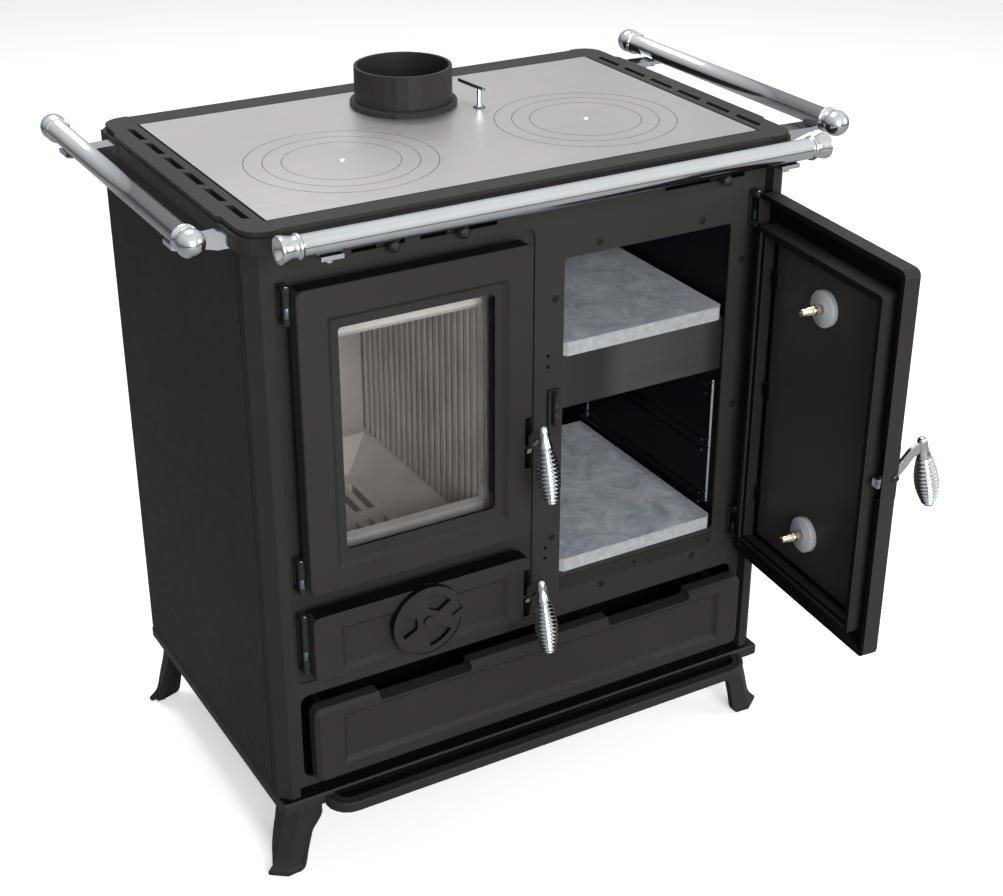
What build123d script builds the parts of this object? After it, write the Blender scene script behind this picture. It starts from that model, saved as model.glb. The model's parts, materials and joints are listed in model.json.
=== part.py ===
from build123d import *
import math
import os
from collections import namedtuple

os.makedirs("parts", exist_ok=True)

# All sizes are in millimetres.
# X runs to the right, Y runs to the back and Z runs up from the floor.
# The stove is drawn about the middle of its four feet, and at the end it moves
# so that the whole thing, with its oven door open, is centred on the floor.

# Whole stove
TOP_HEIGHT = 860
BODY_HALF_WIDTH = 361
POST_Y = -230
PANEL_Y = -214
REAR_Y = 232
SHEET = 2.5
CLEARANCE = 0.5
SEAT_GAP = 0.3
ROUND_SIDES_LEAST = 3
ROUND_SIDES_GROWTH = 1.5

# Plinth, feet and front ledge
PLINTH_TOP = 115
PLINTH_HEIGHT = 17
PLINTH_HALF_WIDTH = 363
PLINTH_FRONT_Y = -238
PLINTH_REAR_Y = 234
PLINTH_RIM = 46
PLINTH_ROLL = 5
FOOT_WING_FRONT = 52
FOOT_WING_SIDE = 45
FOOT_SOLE_FRONT = 35.5
FOOT_SOLE_SIDE = 40
FOOT_WALL = 13
FOOT_KNEE_HIGH = 75
FOOT_KNEE_LOW = 47
FOOT_TOE_RADIUS = 8
FOOT_CORNER_CUT = 20
FOOT_TOE_HALF = 9
FOOT_TOE_PROFILE = ((-20, 0), (-6, 0), (6, 4), (10, 12), (9, 16), (-4, 26), (-10, 34), (-20, 34))
FOOT_BORDER = 5
FOOT_RECESS = 1.5
LEDGE_X = (-307, 330)
LEDGE_REACH = 32
LEDGE_CORNER_RADIUS = 30
LEDGE_RIM_WIDTH = 14
LEDGE_RIM_HEIGHT = 5
LEDGE_THICKNESS = 13
LEDGE_GROOVE = 1.6
LEDGE_GROOVE_IN = 7

# Body panels and corner posts
POST_FRONT_FLANGE = 11
POST_CHAMFER = 14
POST_SIDE_FLANGE = 14
POST_WALL = 3
BACK_FOLD = 14

# Cooktop
HOB_FRAME_THICKNESS = 6
HOB_GASKET_THICKNESS = 4
HOB_FRAME_RIM = 52
HOB_GASKET_WIDTH = 9
HOB_GASKET_INSET = 6
PLATE_HALF_WIDTH = 325
PLATE_FRONT_Y = -205.6
PLATE_REAR_Y = 190.6
PLATE_THICKNESS = 8
HOB_X = 167.7
HOB_Y = -60.3
HOB_RING_RADII = (114.3, 92.2, 70.0)
HOB_TAPER = 5
HOB_SIDES = 32
HOB_DIMPLE_RADIUS = 5
HOB_DIMPLE_DEPTH = 2.5

# Top castings
CASTING_LAYER = 5
CASTING_NECK = 2
CASTING_NECK_INSET = 2
CASTING_BAND = 18
CASTING_HALF_WIDTH = 366
CASTING_FRONT_Y = -237.5
CASTING_REAR_Y = 231
CASTING_CORNER_RADIUS = 27
CASTING_STEP_IN = 4
CASTING_STEP_Y = 165
CASTING_STEP_SLOPE = 4
CASTING_SEAM_X = 326
VENT_COUNT = 6
VENT_WIDTH = 8
VENT_LENGTH = 53
VENT_SLANT = 5
VENT_PITCH = 63.5
VENT_X = 341
VENT_FIRST_Y = -165
RAIL_CASTING_BEVEL = 3
RAIL_CASTING_LIP = 6
RAIL_CASTING_LIP_HEIGHT = 22

# Flue collar and smoke damper
COLLAR_Y = 109.5
COLLAR_RADIUS = 62.6
COLLAR_WALL = 4
COLLAR_HEIGHT = 51
COLLAR_FLANGE_RADIUS = 69
COLLAR_FLANGE_HEIGHT = 8
COLLAR_BEAD = 2
DAMPER_X = 76.4
DAMPER_Y = 48.1
DAMPER_STEM_RADIUS = 3
DAMPER_STEM_HEIGHT = 26
DAMPER_COLLAR_RADIUS = 6.5
DAMPER_COLLAR_HEIGHT = 3
DAMPER_BAR_RADIUS = 3.2
DAMPER_BAR_FRONT = 12
DAMPER_BAR_BACK = 44
DAMPER_BAR_BORE_RADIUS = 1.8
DAMPER_BAR_BORE_DEPTH = 6
DAMPER_BAR_TURN = 5.5
DAMPER_ROD_DROP = 26
DAMPER_FLAP_LENGTH = 74
DAMPER_FLAP_WIDTH = 60
DAMPER_FLAP_THICKNESS = 3

# Towel rails
RAIL_RADIUS = 12.5
RAIL_RISE = 2.8
RAIL_SIDES = 12
CAP_BALL_STEPS = 4
CAP_TIP_ANGLE = 0.4
SIDE_RAIL_X = 421.6
SIDE_RAIL_FRONT_Y = -236.9
SIDE_RAIL_REAR_Y = 223.1
FRONT_RAIL_Y = -300.6
FRONT_RAIL_HALF = 347.8
CAP_BALL_RADIUS = 16
CAP_RING_RADIUS = 15.6
CAP_RING_WIDTH = 4
CAP_NECK_RADIUS = 13.5
CAP_NECK_LENGTH = 8
BRACKET_WIDTH = 26
BRACKET_THICKNESS = 5
BRACKET_FOOT_LENGTH = 14
BRACKET_FOOT_HEIGHT = 15
BRACKET_SADDLE_HALF = 9
SIDE_BRACKET_YS = (-190, 165)
FRONT_BRACKET_XS = (-296, 296)
RAIL_BOLT_RADIUS = 4
RAIL_BOLT_LENGTH = 5

# Left recess of the front panel and the frame behind it
RECESS_X = (-327, 4)
RECESS_Z = (268, 796)
RECESS_RADIUS = 12
FRAME_LAP = 3
FRAME_THICKNESS = 8
FIREBOX_OPENING_Z = (430, 762)
ASH_OPENING_Z = (302, 362)

# Other openings of the front panel
OVEN_OPENING_X = (45, 288)
OVEN_OPENING_Z = (315, 749)
DRAWER_OPENING_HALF = 323
DRAWER_OPENING_Z = (128, 250)
DRAWER_OPENING_RADIUS = 12
OPENING_RADIUS = 4

# Doors
DOOR_FACE_PROUD = 34
DOOR_CASTING_DEPTH = 22
DOOR_CORNER_RADIUS = 9
DOOR_BEVEL = 1.2
DOOR_FACE_THICKNESS = 9
DOOR_WALL = 7
DOOR_RECESS_DEPTH = 5.5
FIELD_SLOPE = 6
SKIRT_LAP = 6
SKIRT_WALL = 4
SKIRT_FLANGE = 12
SKIRT_FLANGE_THICKNESS = 3
GASKET_WIDTH = 6
GASKET_THICKNESS = 4
GLASS_THICKNESS = 4
GLASS_LAP = 9
CLIP_WIDTH = 14
CLIP_LENGTH = 18
CLIP_THICKNESS = 2
CLIP_SHARES = (0.12, 0.5, 0.88)

# Door hinges
HINGE_AXIS_OUT = 2.5
HINGE_AXIS_IN = 21.3
HINGE_PIN_RADIUS = 2.5
HINGE_KNUCKLE_RADIUS = 4.8
HINGE_NOTCH_RADIUS = 6
HINGE_FIT = 0.05
HINGE_PLATE_THICKNESS = 3
HINGE_PLATE_WIDTH = 9.6
HINGE_EAR = 6
HINGE_PLAY = 0.4
HINGE_HEIGHT = 44
ASH_HINGE_HEIGHT = 80

# Firebox door, ash door and oven door, seen from the front
LEFT_DOOR_X = (-314, -18)
FIREBOX_DOOR_Z = (408, 790)
FIREBOX_FIELD_X = (-279, -50)
FIREBOX_FIELD_Z = (436, 753.5)
FIREBOX_WINDOW_X = (-264, -66)
FIREBOX_WINDOW_Z = (457, 737)
ASH_DOOR_Z = (286.5, 377)
ASH_FIELD_X = (-278.5, -50)
ASH_FIELD_Z = (294, 356)
OVEN_DOOR_X = (18, 314)
OVEN_DOOR_Z = (282, 790)
OVEN_FIELD_X = (50, 279)
OVEN_FIELD_Z = (312, 753.5)
OVEN_WINDOW_X = (66, 266)
OVEN_WINDOW_Z = (333, 736)
UPPER_HINGE_Z = 768
FIREBOX_LOW_HINGE_Z = 426
ASH_HINGE_Z = 332
OVEN_LOW_HINGE_Z = 322
UPPER_LEVER_Z = 530
ASH_LEVER_Z = 318
OVEN_DOOR_OPEN = 85.3

# Air dial of the ash door
DIAL_X = -166
DIAL_Z = 333
DIAL_RADIUS = 48
DIAL_THICKNESS = 6
DIAL_RIM = 2.5
DIAL_RIM_HEIGHT = 1.6
DIAL_HUB_RADIUS = 7
DIAL_HUB_HEIGHT = 3
DIAL_PORT_INNER = 17
DIAL_PORT_OUTER = 37
DIAL_PORT_ANGLE = 54
DIAL_PORT_COUNT = 3
DIAL_PORT_STEPS = 4
DIAL_TURN = 60
DIAL_PIN_RADIUS = 4
DIAL_TAB_LENGTH = 16
DIAL_TAB_WIDTH = 14

# Oven thermometers
THERMOMETER_X = 166
THERMOMETER_ZS = (380, 690)
THERMOMETER_RADIUS = 23
THERMOMETER_DEPTH = 7
THERMOMETER_WASHER = 3
PROBE_RADIUS = 5
PROBE_TIP_RADIUS = 4
PROBE_LENGTH = 17
PROBE_TIP_LENGTH = 17

# Lever handles
LEVER_EDGE_INSET = 4.5
LEVER_THICKNESS = 6
LEVER_PIVOT_IN = 4
LEVER_PIN_RADIUS = 2.5
LEVER_HUB_RADIUS = 7
LEVER_REACH = 33
LEVER_RISE = 39
LEVER_ARM_HALF = 4.5
LEVER_SLOT_WIDTH = 10
LEVER_SLOT_UP = 41
LEVER_SLOT_DOWN = 27
HOOK_GAP = 5.5
HOOK_THICKNESS = 5
HOOK_HEIGHT = 11
HOOK_LENGTH = 15
PIVOT_HEAD_RADIUS = 4.5
PIVOT_HEAD_THICKNESS = 1.2
GRIP_TILT = 13.6
GRIP_NECK_LENGTH = 24
GRIP_NECK_RADIUS = 5
GRIP_SHOULDER_RADIUS = 8.5
GRIP_LENGTH = 72
GRIP_RADIUS = 13.5
GRIP_END_RADIUS = 6.5
GRIP_CORE_SHARE = 0.82
GRIP_FINS = 13
GRIP_SIDES = 8
GRIP_END_LENGTH = 4
KEEPER_X = (22.4, 38.4)
KEEPER_Z = (521, 582.5)
KEEPER_THICKNESS = 5

# Storage drawer
DRAWER_HALF_WIDTH = 318
DRAWER_Z = (138, 246)
DRAWER_FRONT_DEPTH = 20
DRAWER_CORNER_RADIUS = 10
DRAWER_BEVEL = 5
DRAWER_FACE_THICKNESS = 10
DRAWER_FIELD_HALF = 281.5
DRAWER_FIELD_Z = (158, 231)
DRAWER_FIELD_DEPTH = 5.5
DRAWER_SCOOP_X = 167
DRAWER_SCOOP_WIDTH = 128
DRAWER_SCOOP_DEPTH = 11
TRAY_HALF_WIDTH = 296
TRAY_DEPTH = 390
TRAY_Z = (152, 232)
TRAY_WALL = 2
RUNNER_WIDTH = 16

# Air sliders above the doors
SLIDER_SLOTS = ((-231, -165), (-146, -47), (185, 303))
SLIDER_SLOT_DROP = 31
SLIDER_SLOT_HEIGHT = 6
SLIDER_KNOB_XS = (-185, -97, 267.5)
SLIDER_TRAVELS = ((-38, 14), (-40, 40), (-74, 28))
SLIDER_KNOB_RADIUS = 7.5
SLIDER_KNOB_STEPS = 3
SLIDER_KNOB_SECTIONS = (-2.4, -1, 0, 1, 2.4)
SLIDER_SHAFT_RADIUS = 2.2
SLIDER_KNOB_OUT = 12
SLIDER_PLATE_HEIGHT = 14
SLIDER_PLATE_THICKNESS = 2
SLIDER_PLATE_HALF = 14
GUIDE_HEIGHT = 4
GUIDE_DEPTH = 5

# Oven
OVEN_LINER_SIDE = 5
OVEN_LINER_DEPTH = 385
SLAB_UPPER_X = (46, 284)
SLAB_LOWER_X = (46, 286)
SLAB_THICKNESS = 18
SLAB_UPPER_TOP = 638.5
SLAB_DEPTH = 330
SLAB_CHAMFER = 6.4
SLAB_FRONT_IN = 1
SLAB_EDGE = 1
BAND_HEIGHT = 72
BAND_THICKNESS = 2.5
BAND_IN = 7
LADDER_X = 285
LADDER_WIRE_RADIUS = 1.8
LADDER_CROSS_RADIUS = 1.5
LADDER_CROSS_END = 3
LADDER_WIRE_SIDES = 4
LADDER_FRONT_Y = -201
LADDER_REAR_Y = 96
LEFT_LADDER_BACK = 20
LADDER_Z = (350, 530)
LADDER_RUNG_ZS = (526, 513, 446, 431, 366, 353)
LADDER_RUNG_IN = 10
SILL_HEIGHT = 19.5
SILL_THICKNESS = 1.2
SILL_INSET = 1

# Firebox
LINING_INNER_X = (-272, -60)
LINING_THICKNESS = 22
LINING_REAR_Y = 138
LINING_Z = (352, 792)
RIB_PITCH = 16
RIB_DEPTH = 5
BACK_RIB_PITCH = 60
BACK_RIB_DEPTH = 3
BEAM_HEIGHT = 20
BEAM_DEPTH = 24
BEAM_Z = 704
TROUGH_TOP = 399
TROUGH_LIP_TOP = 446
TROUGH_LIP_DEPTH = 14
TROUGH_RIM = 6
GRATE_HALF = (54, 112)
GRATE_THICKNESS = 14
GRATE_SLOT_WIDTH = 10
GRATE_SLOT_LENGTH = 72
GRATE_SLOT_PITCH = 20
GRATE_SLOTS_PER_ROW = 5
GRATE_ROW_PITCH = 96
ASH_PAN_HEIGHT = 48
ASH_PAN_WALL = 2
ASH_PAN_DEPTH = 320
ASH_PAN_X = (-282, -50)
SHELF_TOP = 296
SUPPORT_THICKNESS = 3
SUPPORT_FLANGE = 30

DOOR_VALUES = "x z side field_x field_z window_x window_z lever_z hinges opening_x opening_z seat_y"
Door = namedtuple("Door", DOOR_VALUES)

FRAME_Y = PANEL_Y + SHEET + SEAT_GAP
LEFT_OPENING_X = (-OVEN_OPENING_X[1], -OVEN_OPENING_X[0])
FIREBOX_DOOR = Door(
    LEFT_DOOR_X,
    FIREBOX_DOOR_Z,
    -1,
    FIREBOX_FIELD_X,
    FIREBOX_FIELD_Z,
    FIREBOX_WINDOW_X,
    FIREBOX_WINDOW_Z,
    UPPER_LEVER_Z,
    ((FIREBOX_LOW_HINGE_Z, HINGE_HEIGHT), (UPPER_HINGE_Z, HINGE_HEIGHT)),
    LEFT_OPENING_X,
    FIREBOX_OPENING_Z,
    FRAME_Y,
)
ASH_DOOR = Door(
    LEFT_DOOR_X,
    ASH_DOOR_Z,
    -1,
    ASH_FIELD_X,
    ASH_FIELD_Z,
    None,
    None,
    ASH_LEVER_Z,
    ((ASH_HINGE_Z, ASH_HINGE_HEIGHT),),
    LEFT_OPENING_X,
    ASH_OPENING_Z,
    FRAME_Y,
)
OVEN_DOOR = Door(
    OVEN_DOOR_X,
    OVEN_DOOR_Z,
    1,
    OVEN_FIELD_X,
    OVEN_FIELD_Z,
    OVEN_WINDOW_X,
    OVEN_WINDOW_Z,
    UPPER_LEVER_Z,
    ((OVEN_LOW_HINGE_Z, HINGE_HEIGHT), (UPPER_HINGE_Z, HINGE_HEIGHT)),
    OVEN_OPENING_X,
    OVEN_OPENING_Z,
    PANEL_Y,
)
DOORS = (FIREBOX_DOOR, ASH_DOOR, OVEN_DOOR)

PLATE_UNDER = TOP_HEIGHT - PLATE_THICKNESS
HOB_FRAME_TOP = PLATE_UNDER - HOB_GASKET_THICKNESS
PANEL_TOP = HOB_FRAME_TOP - HOB_FRAME_THICKNESS
RAIL_HEIGHT = TOP_HEIGHT + RAIL_RISE
SLIDER_SLOT_Z = PANEL_TOP - SLIDER_SLOT_DROP
DOOR_FACE_Y = PANEL_Y - DOOR_FACE_PROUD
DOOR_BACK_Y = DOOR_FACE_Y + DOOR_CASTING_DEPTH
POCKET_Y = DOOR_FACE_Y + DOOR_FACE_THICKNESS
PANEL_BACK_Y = PANEL_Y + SHEET
FRAME_BACK_Y = FRAME_Y + FRAME_THICKNESS
INNER_HALF_WIDTH = BODY_HALF_WIDTH - SHEET
POST_SIDE_END_Y = POST_Y + POST_CHAMFER + POST_SIDE_FLANGE
POST_INNER_X = BODY_HALF_WIDTH - POST_CHAMFER - POST_FRONT_FLANGE
BAND_TOP = TOP_HEIGHT - CASTING_LAYER - CASTING_NECK
BAND_LOW = BAND_TOP - CASTING_BAND
DRAWER_FRONT_Y = DOOR_FACE_Y
DRAWER_BACK_Y = DRAWER_FRONT_Y + DRAWER_FRONT_DEPTH
LINING_FRONT_Y = FRAME_BACK_Y + CLEARANCE
LINER_X = (OVEN_OPENING_X[0] - OVEN_LINER_SIDE, OVEN_OPENING_X[1] + OVEN_LINER_SIDE)
LINER_Z = (OVEN_OPENING_Z[0], OVEN_OPENING_Z[1] + OVEN_LINER_SIDE)


# Helpers


def block(x_range, y_range, z_range):
    """A straight block between two limits on each axis."""
    ranges = (x_range, y_range, z_range)
    size = [high - low for low, high in ranges]
    middle = [(high + low) / 2 for low, high in ranges]
    return Pos(*middle) * Box(*size)


def grown(limits, amount):
    """A pair of limits moved apart by an amount on both sides."""
    return (limits[0] - amount, limits[1] + amount)


def ordered(a, b):
    """Two values as a pair of limits, the smaller one first."""
    return (min(a, b), max(a, b))


def front_plane(x, y, z):
    """A drawing plane that faces the front."""
    return Plane(origin=(x, y, z), x_dir=(1, 0, 0), z_dir=(0, -1, 0))


def side_plane(x):
    """A drawing plane with depth to the right and height up, that faces the right side."""
    return Plane(origin=(x, 0, 0), x_dir=(0, 1, 0), z_dir=(1, 0, 0))


def corner_points(x, y, radius, start):
    """The points of a quarter corner about its middle, with more flats on a larger radius."""
    flats = max(1, round(math.sqrt(radius)))
    angles = [math.radians(start + 90 * step / flats) for step in range(flats + 1)]
    return [(x + radius * math.cos(angle), y + radius * math.sin(angle)) for angle in angles]


def soft_rectangle(width, height, radius):
    """A rectangle with each corner rounded in a few flats."""
    x = width / 2 - radius
    y = height / 2 - radius
    points = corner_points(x, y, radius, 0) + corner_points(-x, y, radius, 90)
    points += corner_points(-x, -y, radius, 180) + corner_points(x, -y, radius, 270)
    return make_face(Polyline(*points, close=True))


def front_slab(x_range, z_range, y_front, y_back, radius=0.0):
    """An upright slab with rounded corners, seen from the front."""
    width = x_range[1] - x_range[0]
    height = z_range[1] - z_range[0]
    plane = front_plane(sum(x_range) / 2, y_back, sum(z_range) / 2)
    outline = soft_rectangle(width, height, radius) if radius else Rectangle(width, height)
    return extrude(plane * outline, amount=y_back - y_front)


def field_cutter(x_range, z_range, y_front, depth):
    """The cutter of a sunk field whose four sides slope in from its edge to its floor."""
    corners = []
    for y, inset in ((y_front, 0), (y_front + depth, -FIELD_SLOPE)):
        (x_low, x_high), (z_low, z_high) = grown(x_range, inset), grown(z_range, inset)
        corners.append([(x_low, y, z_low), (x_high, y, z_low), (x_high, y, z_high), (x_low, y, z_high)])
    outlines = list(corners)
    for step in range(4):
        after = (step + 1) % 4
        outlines.append([corners[0][step], corners[0][after], corners[1][after], corners[1][step]])
    return Solid(Shell([Face(Wire.make_polygon(outline)) for outline in outlines]))


def flat_slab(x_range, y_range, z_low, z_high, radius):
    """A level slab with rounded corners, seen from above."""
    width = x_range[1] - x_range[0]
    depth = y_range[1] - y_range[0]
    plane = Plane(origin=(sum(x_range) / 2, sum(y_range) / 2, z_low))
    return extrude(plane * soft_rectangle(width, depth, radius), amount=z_high - z_low)


def bar(start, end, outline):
    """An outline drawn out from one point to another."""
    a = Vector(*start)
    b = Vector(*end)
    return extrude(Plane(origin=a, z_dir=b - a) * outline, amount=(b - a).length)


def pin(start, end, radius):
    """A true round pin, for what turns or slides in a close fit."""
    return bar(start, end, Circle(radius))


def round_sides(radius):
    """How many flats stand for a full circle."""
    return 2 * round(ROUND_SIDES_LEAST / 2 + ROUND_SIDES_GROWTH * math.sqrt(radius))


def rod(start, end, radius):
    """A rod between two points, rounded in flats."""
    return bar(start, end, RegularPolygon(radius, round_sides(radius)))


def bore(start, end, radius):
    """The cutter of a hole in flats, none of which is nearer to the middle than the radius."""
    return bar(start, end, RegularPolygon(radius, round_sides(radius), major_radius=False))


def turned(points, sides):
    """A turned piece in flats, from its radii and heights in rising order."""
    angles = [2 * math.pi * step / sides for step in range(sides)]
    rings = []
    for radius, height in points:
        rings.append([(radius * math.cos(angle), radius * math.sin(angle), height) for angle in angles])
    outlines = [rings[0], rings[-1]]
    for low, high in zip(rings, rings[1:]):
        for step in range(sides):
            after = (step + 1) % sides
            outlines.append([low[step], low[after], high[after], high[step]])
    return Solid(Shell([Face(Wire.make_polygon(outline)) for outline in outlines]))


def mirrored(shape):
    """The same piece on the other side of the stove."""
    return mirror(shape, Plane.YZ)


def group(solids):
    """Separate solids kept together under one name."""
    return Compound(list(solids))


# Plinth, feet and ledge


def plinth():
    """The frame under the body, with a rolled edge, that the feet carry."""
    x_range = (-PLINTH_HALF_WIDTH, PLINTH_HALF_WIDTH)
    y_range = (PLINTH_FRONT_Y, PLINTH_REAR_Y)
    low = PLINTH_TOP - PLINTH_HEIGHT
    frame = flat_slab(x_range, y_range, low, PLINTH_TOP, PLINTH_ROLL)
    frame = chamfer(frame.edges().group_by(Axis.Z)[-1], PLINTH_ROLL / 2)
    frame = chamfer(frame.edges().group_by(Axis.Z)[0], PLINTH_ROLL / 2)
    hole = flat_slab(grown(x_range, -PLINTH_RIM), grown(y_range, -PLINTH_RIM), low, PLINTH_TOP, PLINTH_ROLL)
    return frame - hole


def foot_wing(top_length, sole_length, height):
    """One wing of a bracket foot, drawn in length and height from the corner."""
    flare = top_length - sole_length
    knee = (FOOT_KNEE_LOW + FOOT_KNEE_HIGH) / 2
    outline = Polyline(
        (0, 0),
        (sole_length - FOOT_TOE_RADIUS, 0),
        (sole_length, FOOT_TOE_RADIUS),
        (sole_length + flare / 8, FOOT_KNEE_LOW),
        (sole_length + flare * 3 / 8, knee),
        (top_length, FOOT_KNEE_HIGH),
        (top_length, height),
        (0, height),
        close=True,
    )
    return make_face(outline)


def foot_toe():
    """The toe that flares out from the foot's cut corner, drawn outward and up along the diagonal."""
    plane = Plane(origin=(0, 0, 0), x_dir=(-1, -1, 0), z_dir=(-1, 1, 0))
    outline = make_face(Polyline(*FOOT_TOE_PROFILE, close=True))
    return extrude(plane * outline, amount=FOOT_TOE_HALF, both=True)


def foot(side, end):
    """A bracket foot with two wings, a cut corner, a flared toe and a bordered face."""
    height = PLINTH_TOP - PLINTH_HEIGHT
    front_face = foot_wing(FOOT_WING_FRONT, FOOT_SOLE_FRONT, height)
    side_face = foot_wing(FOOT_WING_SIDE, FOOT_SOLE_SIDE, height)
    shape = extrude(Plane.XZ * front_face, amount=-FOOT_WALL)
    shape += extrude(Plane.YZ * side_face, amount=FOOT_WALL)
    sole = FOOT_SOLE_FRONT / 2
    shape += block((0, sole), (0, sole), (0, height))
    border = offset(front_face, -FOOT_BORDER, kind=Kind.INTERSECTION)
    shape -= Pos(FOOT_CORNER_CUT / 2, 0, 0) * extrude(Plane.XZ * border, amount=-FOOT_RECESS)
    side_border = offset(side_face, -FOOT_BORDER, kind=Kind.INTERSECTION)
    shape -= Pos(0, FOOT_CORNER_CUT / 2, 0) * extrude(Plane.YZ * side_border, amount=FOOT_RECESS)
    cut_half = FOOT_CORNER_CUT / 2
    cut = block((-FOOT_CORNER_CUT, FOOT_CORNER_CUT), (-cut_half, cut_half), (0, height))
    shape -= Rot(0, 0, -45) * cut
    shape += foot_toe()
    if end > 0:
        shape = mirror(shape, Plane.XZ)
    if side > 0:
        shape = mirrored(shape)
    corner_y = PLINTH_FRONT_Y if end < 0 else PLINTH_REAR_Y
    return Pos(side * PLINTH_HALF_WIDTH, corner_y, 0) * shape


def ledge_layer(inset, z_low, z_high):
    """A layer of the front ledge, drawn in by an amount, running in behind the plinth's face."""
    y_front = PLINTH_FRONT_Y - LEDGE_REACH + inset
    x_range = grown(LEDGE_X, -inset)
    y_range = (y_front, PLINTH_FRONT_Y + LEDGE_REACH)
    return flat_slab(x_range, y_range, z_low, z_high, LEDGE_CORNER_RADIUS - inset)


def front_ledge():
    """The ash ledge in front of the plinth, with a raised grooved rim and rounded corners."""
    low = PLINTH_TOP - PLINTH_HEIGHT
    top = low + LEDGE_THICKNESS
    shape = ledge_layer(0, low, top)
    shape = chamfer(shape.edges().group_by(Axis.Z)[-1], LEDGE_GROOVE)
    shape -= ledge_layer(LEDGE_RIM_WIDTH, top - LEDGE_RIM_HEIGHT, top)
    groove = ledge_layer(LEDGE_GROOVE_IN, top - LEDGE_GROOVE, top)
    groove -= ledge_layer(LEDGE_GROOVE_IN + LEDGE_GROOVE, top - LEDGE_GROOVE, top)
    shape -= groove
    y_range = (PLINTH_FRONT_Y - LEDGE_REACH, PLINTH_FRONT_Y)
    return shape & block(LEDGE_X, y_range, (low, top))


# Body panels


def side_panel(side):
    """A side sheet, folded in at the back."""
    z_range = (PLINTH_TOP, PANEL_TOP)
    sheet = block((INNER_HALF_WIDTH, BODY_HALF_WIDTH), (POST_SIDE_END_Y, REAR_Y), z_range)
    fold = block((BODY_HALF_WIDTH - BACK_FOLD, BODY_HALF_WIDTH), (REAR_Y - SHEET, REAR_Y), z_range)
    shape = sheet + fold
    return shape if side > 0 else mirrored(shape)


def back_panel():
    """The rear sheet, set between the folds of the two side sheets."""
    half = BODY_HALF_WIDTH - BACK_FOLD - CLEARANCE / 2
    return block((-half, half), (REAR_Y - SHEET, REAR_Y), (PLINTH_TOP, PANEL_TOP))


def bottom_panel():
    """The floor sheet of the body."""
    y_range = (POST_SIDE_END_Y, REAR_Y - SHEET)
    return block((-INNER_HALF_WIDTH, INNER_HALF_WIDTH), y_range, (PLINTH_TOP, PLINTH_TOP + SHEET))


def corner_post(side):
    """A front corner post: a folded strip with a 45 degree face and a return to the front sheet."""
    outer_x = BODY_HALF_WIDTH
    slant_y = POST_Y + POST_CHAMFER
    slant_x = BODY_HALF_WIDTH - POST_CHAMFER
    fold = POST_WALL * math.tan(math.radians(22.5))
    outline = Polyline(
        (outer_x, POST_SIDE_END_Y),
        (outer_x, slant_y),
        (slant_x, POST_Y),
        (POST_INNER_X, POST_Y),
        (POST_INNER_X, PANEL_BACK_Y),
        (POST_INNER_X + POST_WALL, PANEL_BACK_Y),
        (POST_INNER_X + POST_WALL, POST_Y + POST_WALL),
        (slant_x - fold, POST_Y + POST_WALL),
        (outer_x - POST_WALL, slant_y + fold),
        (outer_x - POST_WALL, POST_SIDE_END_Y),
        close=True,
    )
    shape = extrude(Pos(0, 0, PLINTH_TOP) * make_face(outline), amount=PANEL_TOP - PLINTH_TOP)
    return shape if side > 0 else mirrored(shape)


def front_panel():
    """The front sheet with the left recess, the oven, drawer and air slider openings."""
    half = POST_INNER_X - CLEARANCE / 2
    shape = block((-half, half), (PANEL_Y, PANEL_BACK_Y), (PLINTH_TOP, PANEL_TOP))
    openings = (
        (RECESS_X, RECESS_Z, RECESS_RADIUS),
        ((-DRAWER_OPENING_HALF, DRAWER_OPENING_HALF), DRAWER_OPENING_Z, DRAWER_OPENING_RADIUS),
        (OVEN_OPENING_X, OVEN_OPENING_Z, OPENING_RADIUS),
    )
    for x_range, z_range, radius in openings:
        shape -= front_slab(x_range, z_range, PANEL_Y, PANEL_BACK_Y, radius)
    slot_z = (SLIDER_SLOT_Z - SLIDER_SLOT_HEIGHT / 2, SLIDER_SLOT_Z + SLIDER_SLOT_HEIGHT / 2)
    for limits in SLIDER_SLOTS:
        shape -= block(limits, (PANEL_Y, PANEL_BACK_Y), slot_z)
    return shape


def firebox_frame():
    """The black frame in the left recess, with the openings of the firebox and the ash box."""
    shape = block(grown(RECESS_X, FRAME_LAP), (FRAME_Y, FRAME_BACK_Y), grown(RECESS_Z, FRAME_LAP))
    for z_range in (FIREBOX_OPENING_Z, ASH_OPENING_Z):
        shape -= front_slab(LEFT_OPENING_X, z_range, FRAME_Y, FRAME_BACK_Y, OPENING_RADIUS)
    return shape


# Cooktop


def hob_frame():
    """The sheet frame on top of the panels that carries the plate and the castings."""
    x_range = (-BODY_HALF_WIDTH, BODY_HALF_WIDTH)
    z_range = (PANEL_TOP, HOB_FRAME_TOP)
    rim = HOB_GASKET_INSET + HOB_GASKET_WIDTH
    opening_y = (PLATE_FRONT_Y + rim, PLATE_REAR_Y - rim)
    opening = block(grown(x_range, -HOB_FRAME_RIM), opening_y, z_range)
    return block(x_range, (PANEL_Y, REAR_Y), z_range) - opening


def hob_gasket():
    """The flat rope seal between the frame and the plate."""
    x_range = grown((-PLATE_HALF_WIDTH, PLATE_HALF_WIDTH), -HOB_GASKET_INSET)
    y_range = (PLATE_FRONT_Y + HOB_GASKET_INSET, PLATE_REAR_Y - HOB_GASKET_INSET)
    z_range = (HOB_FRAME_TOP, PLATE_UNDER)
    inside = block(grown(x_range, -HOB_GASKET_WIDTH), grown(y_range, -HOB_GASKET_WIDTH), z_range)
    return block(x_range, y_range, z_range) - inside


def hob_disc(radius):
    """A disc as thick as the plate, with a tapered edge that seats in a like hole."""
    return turned([(radius - HOB_TAPER, PLATE_UNDER), (radius, TOP_HEIGHT)], HOB_SIDES)


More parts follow.
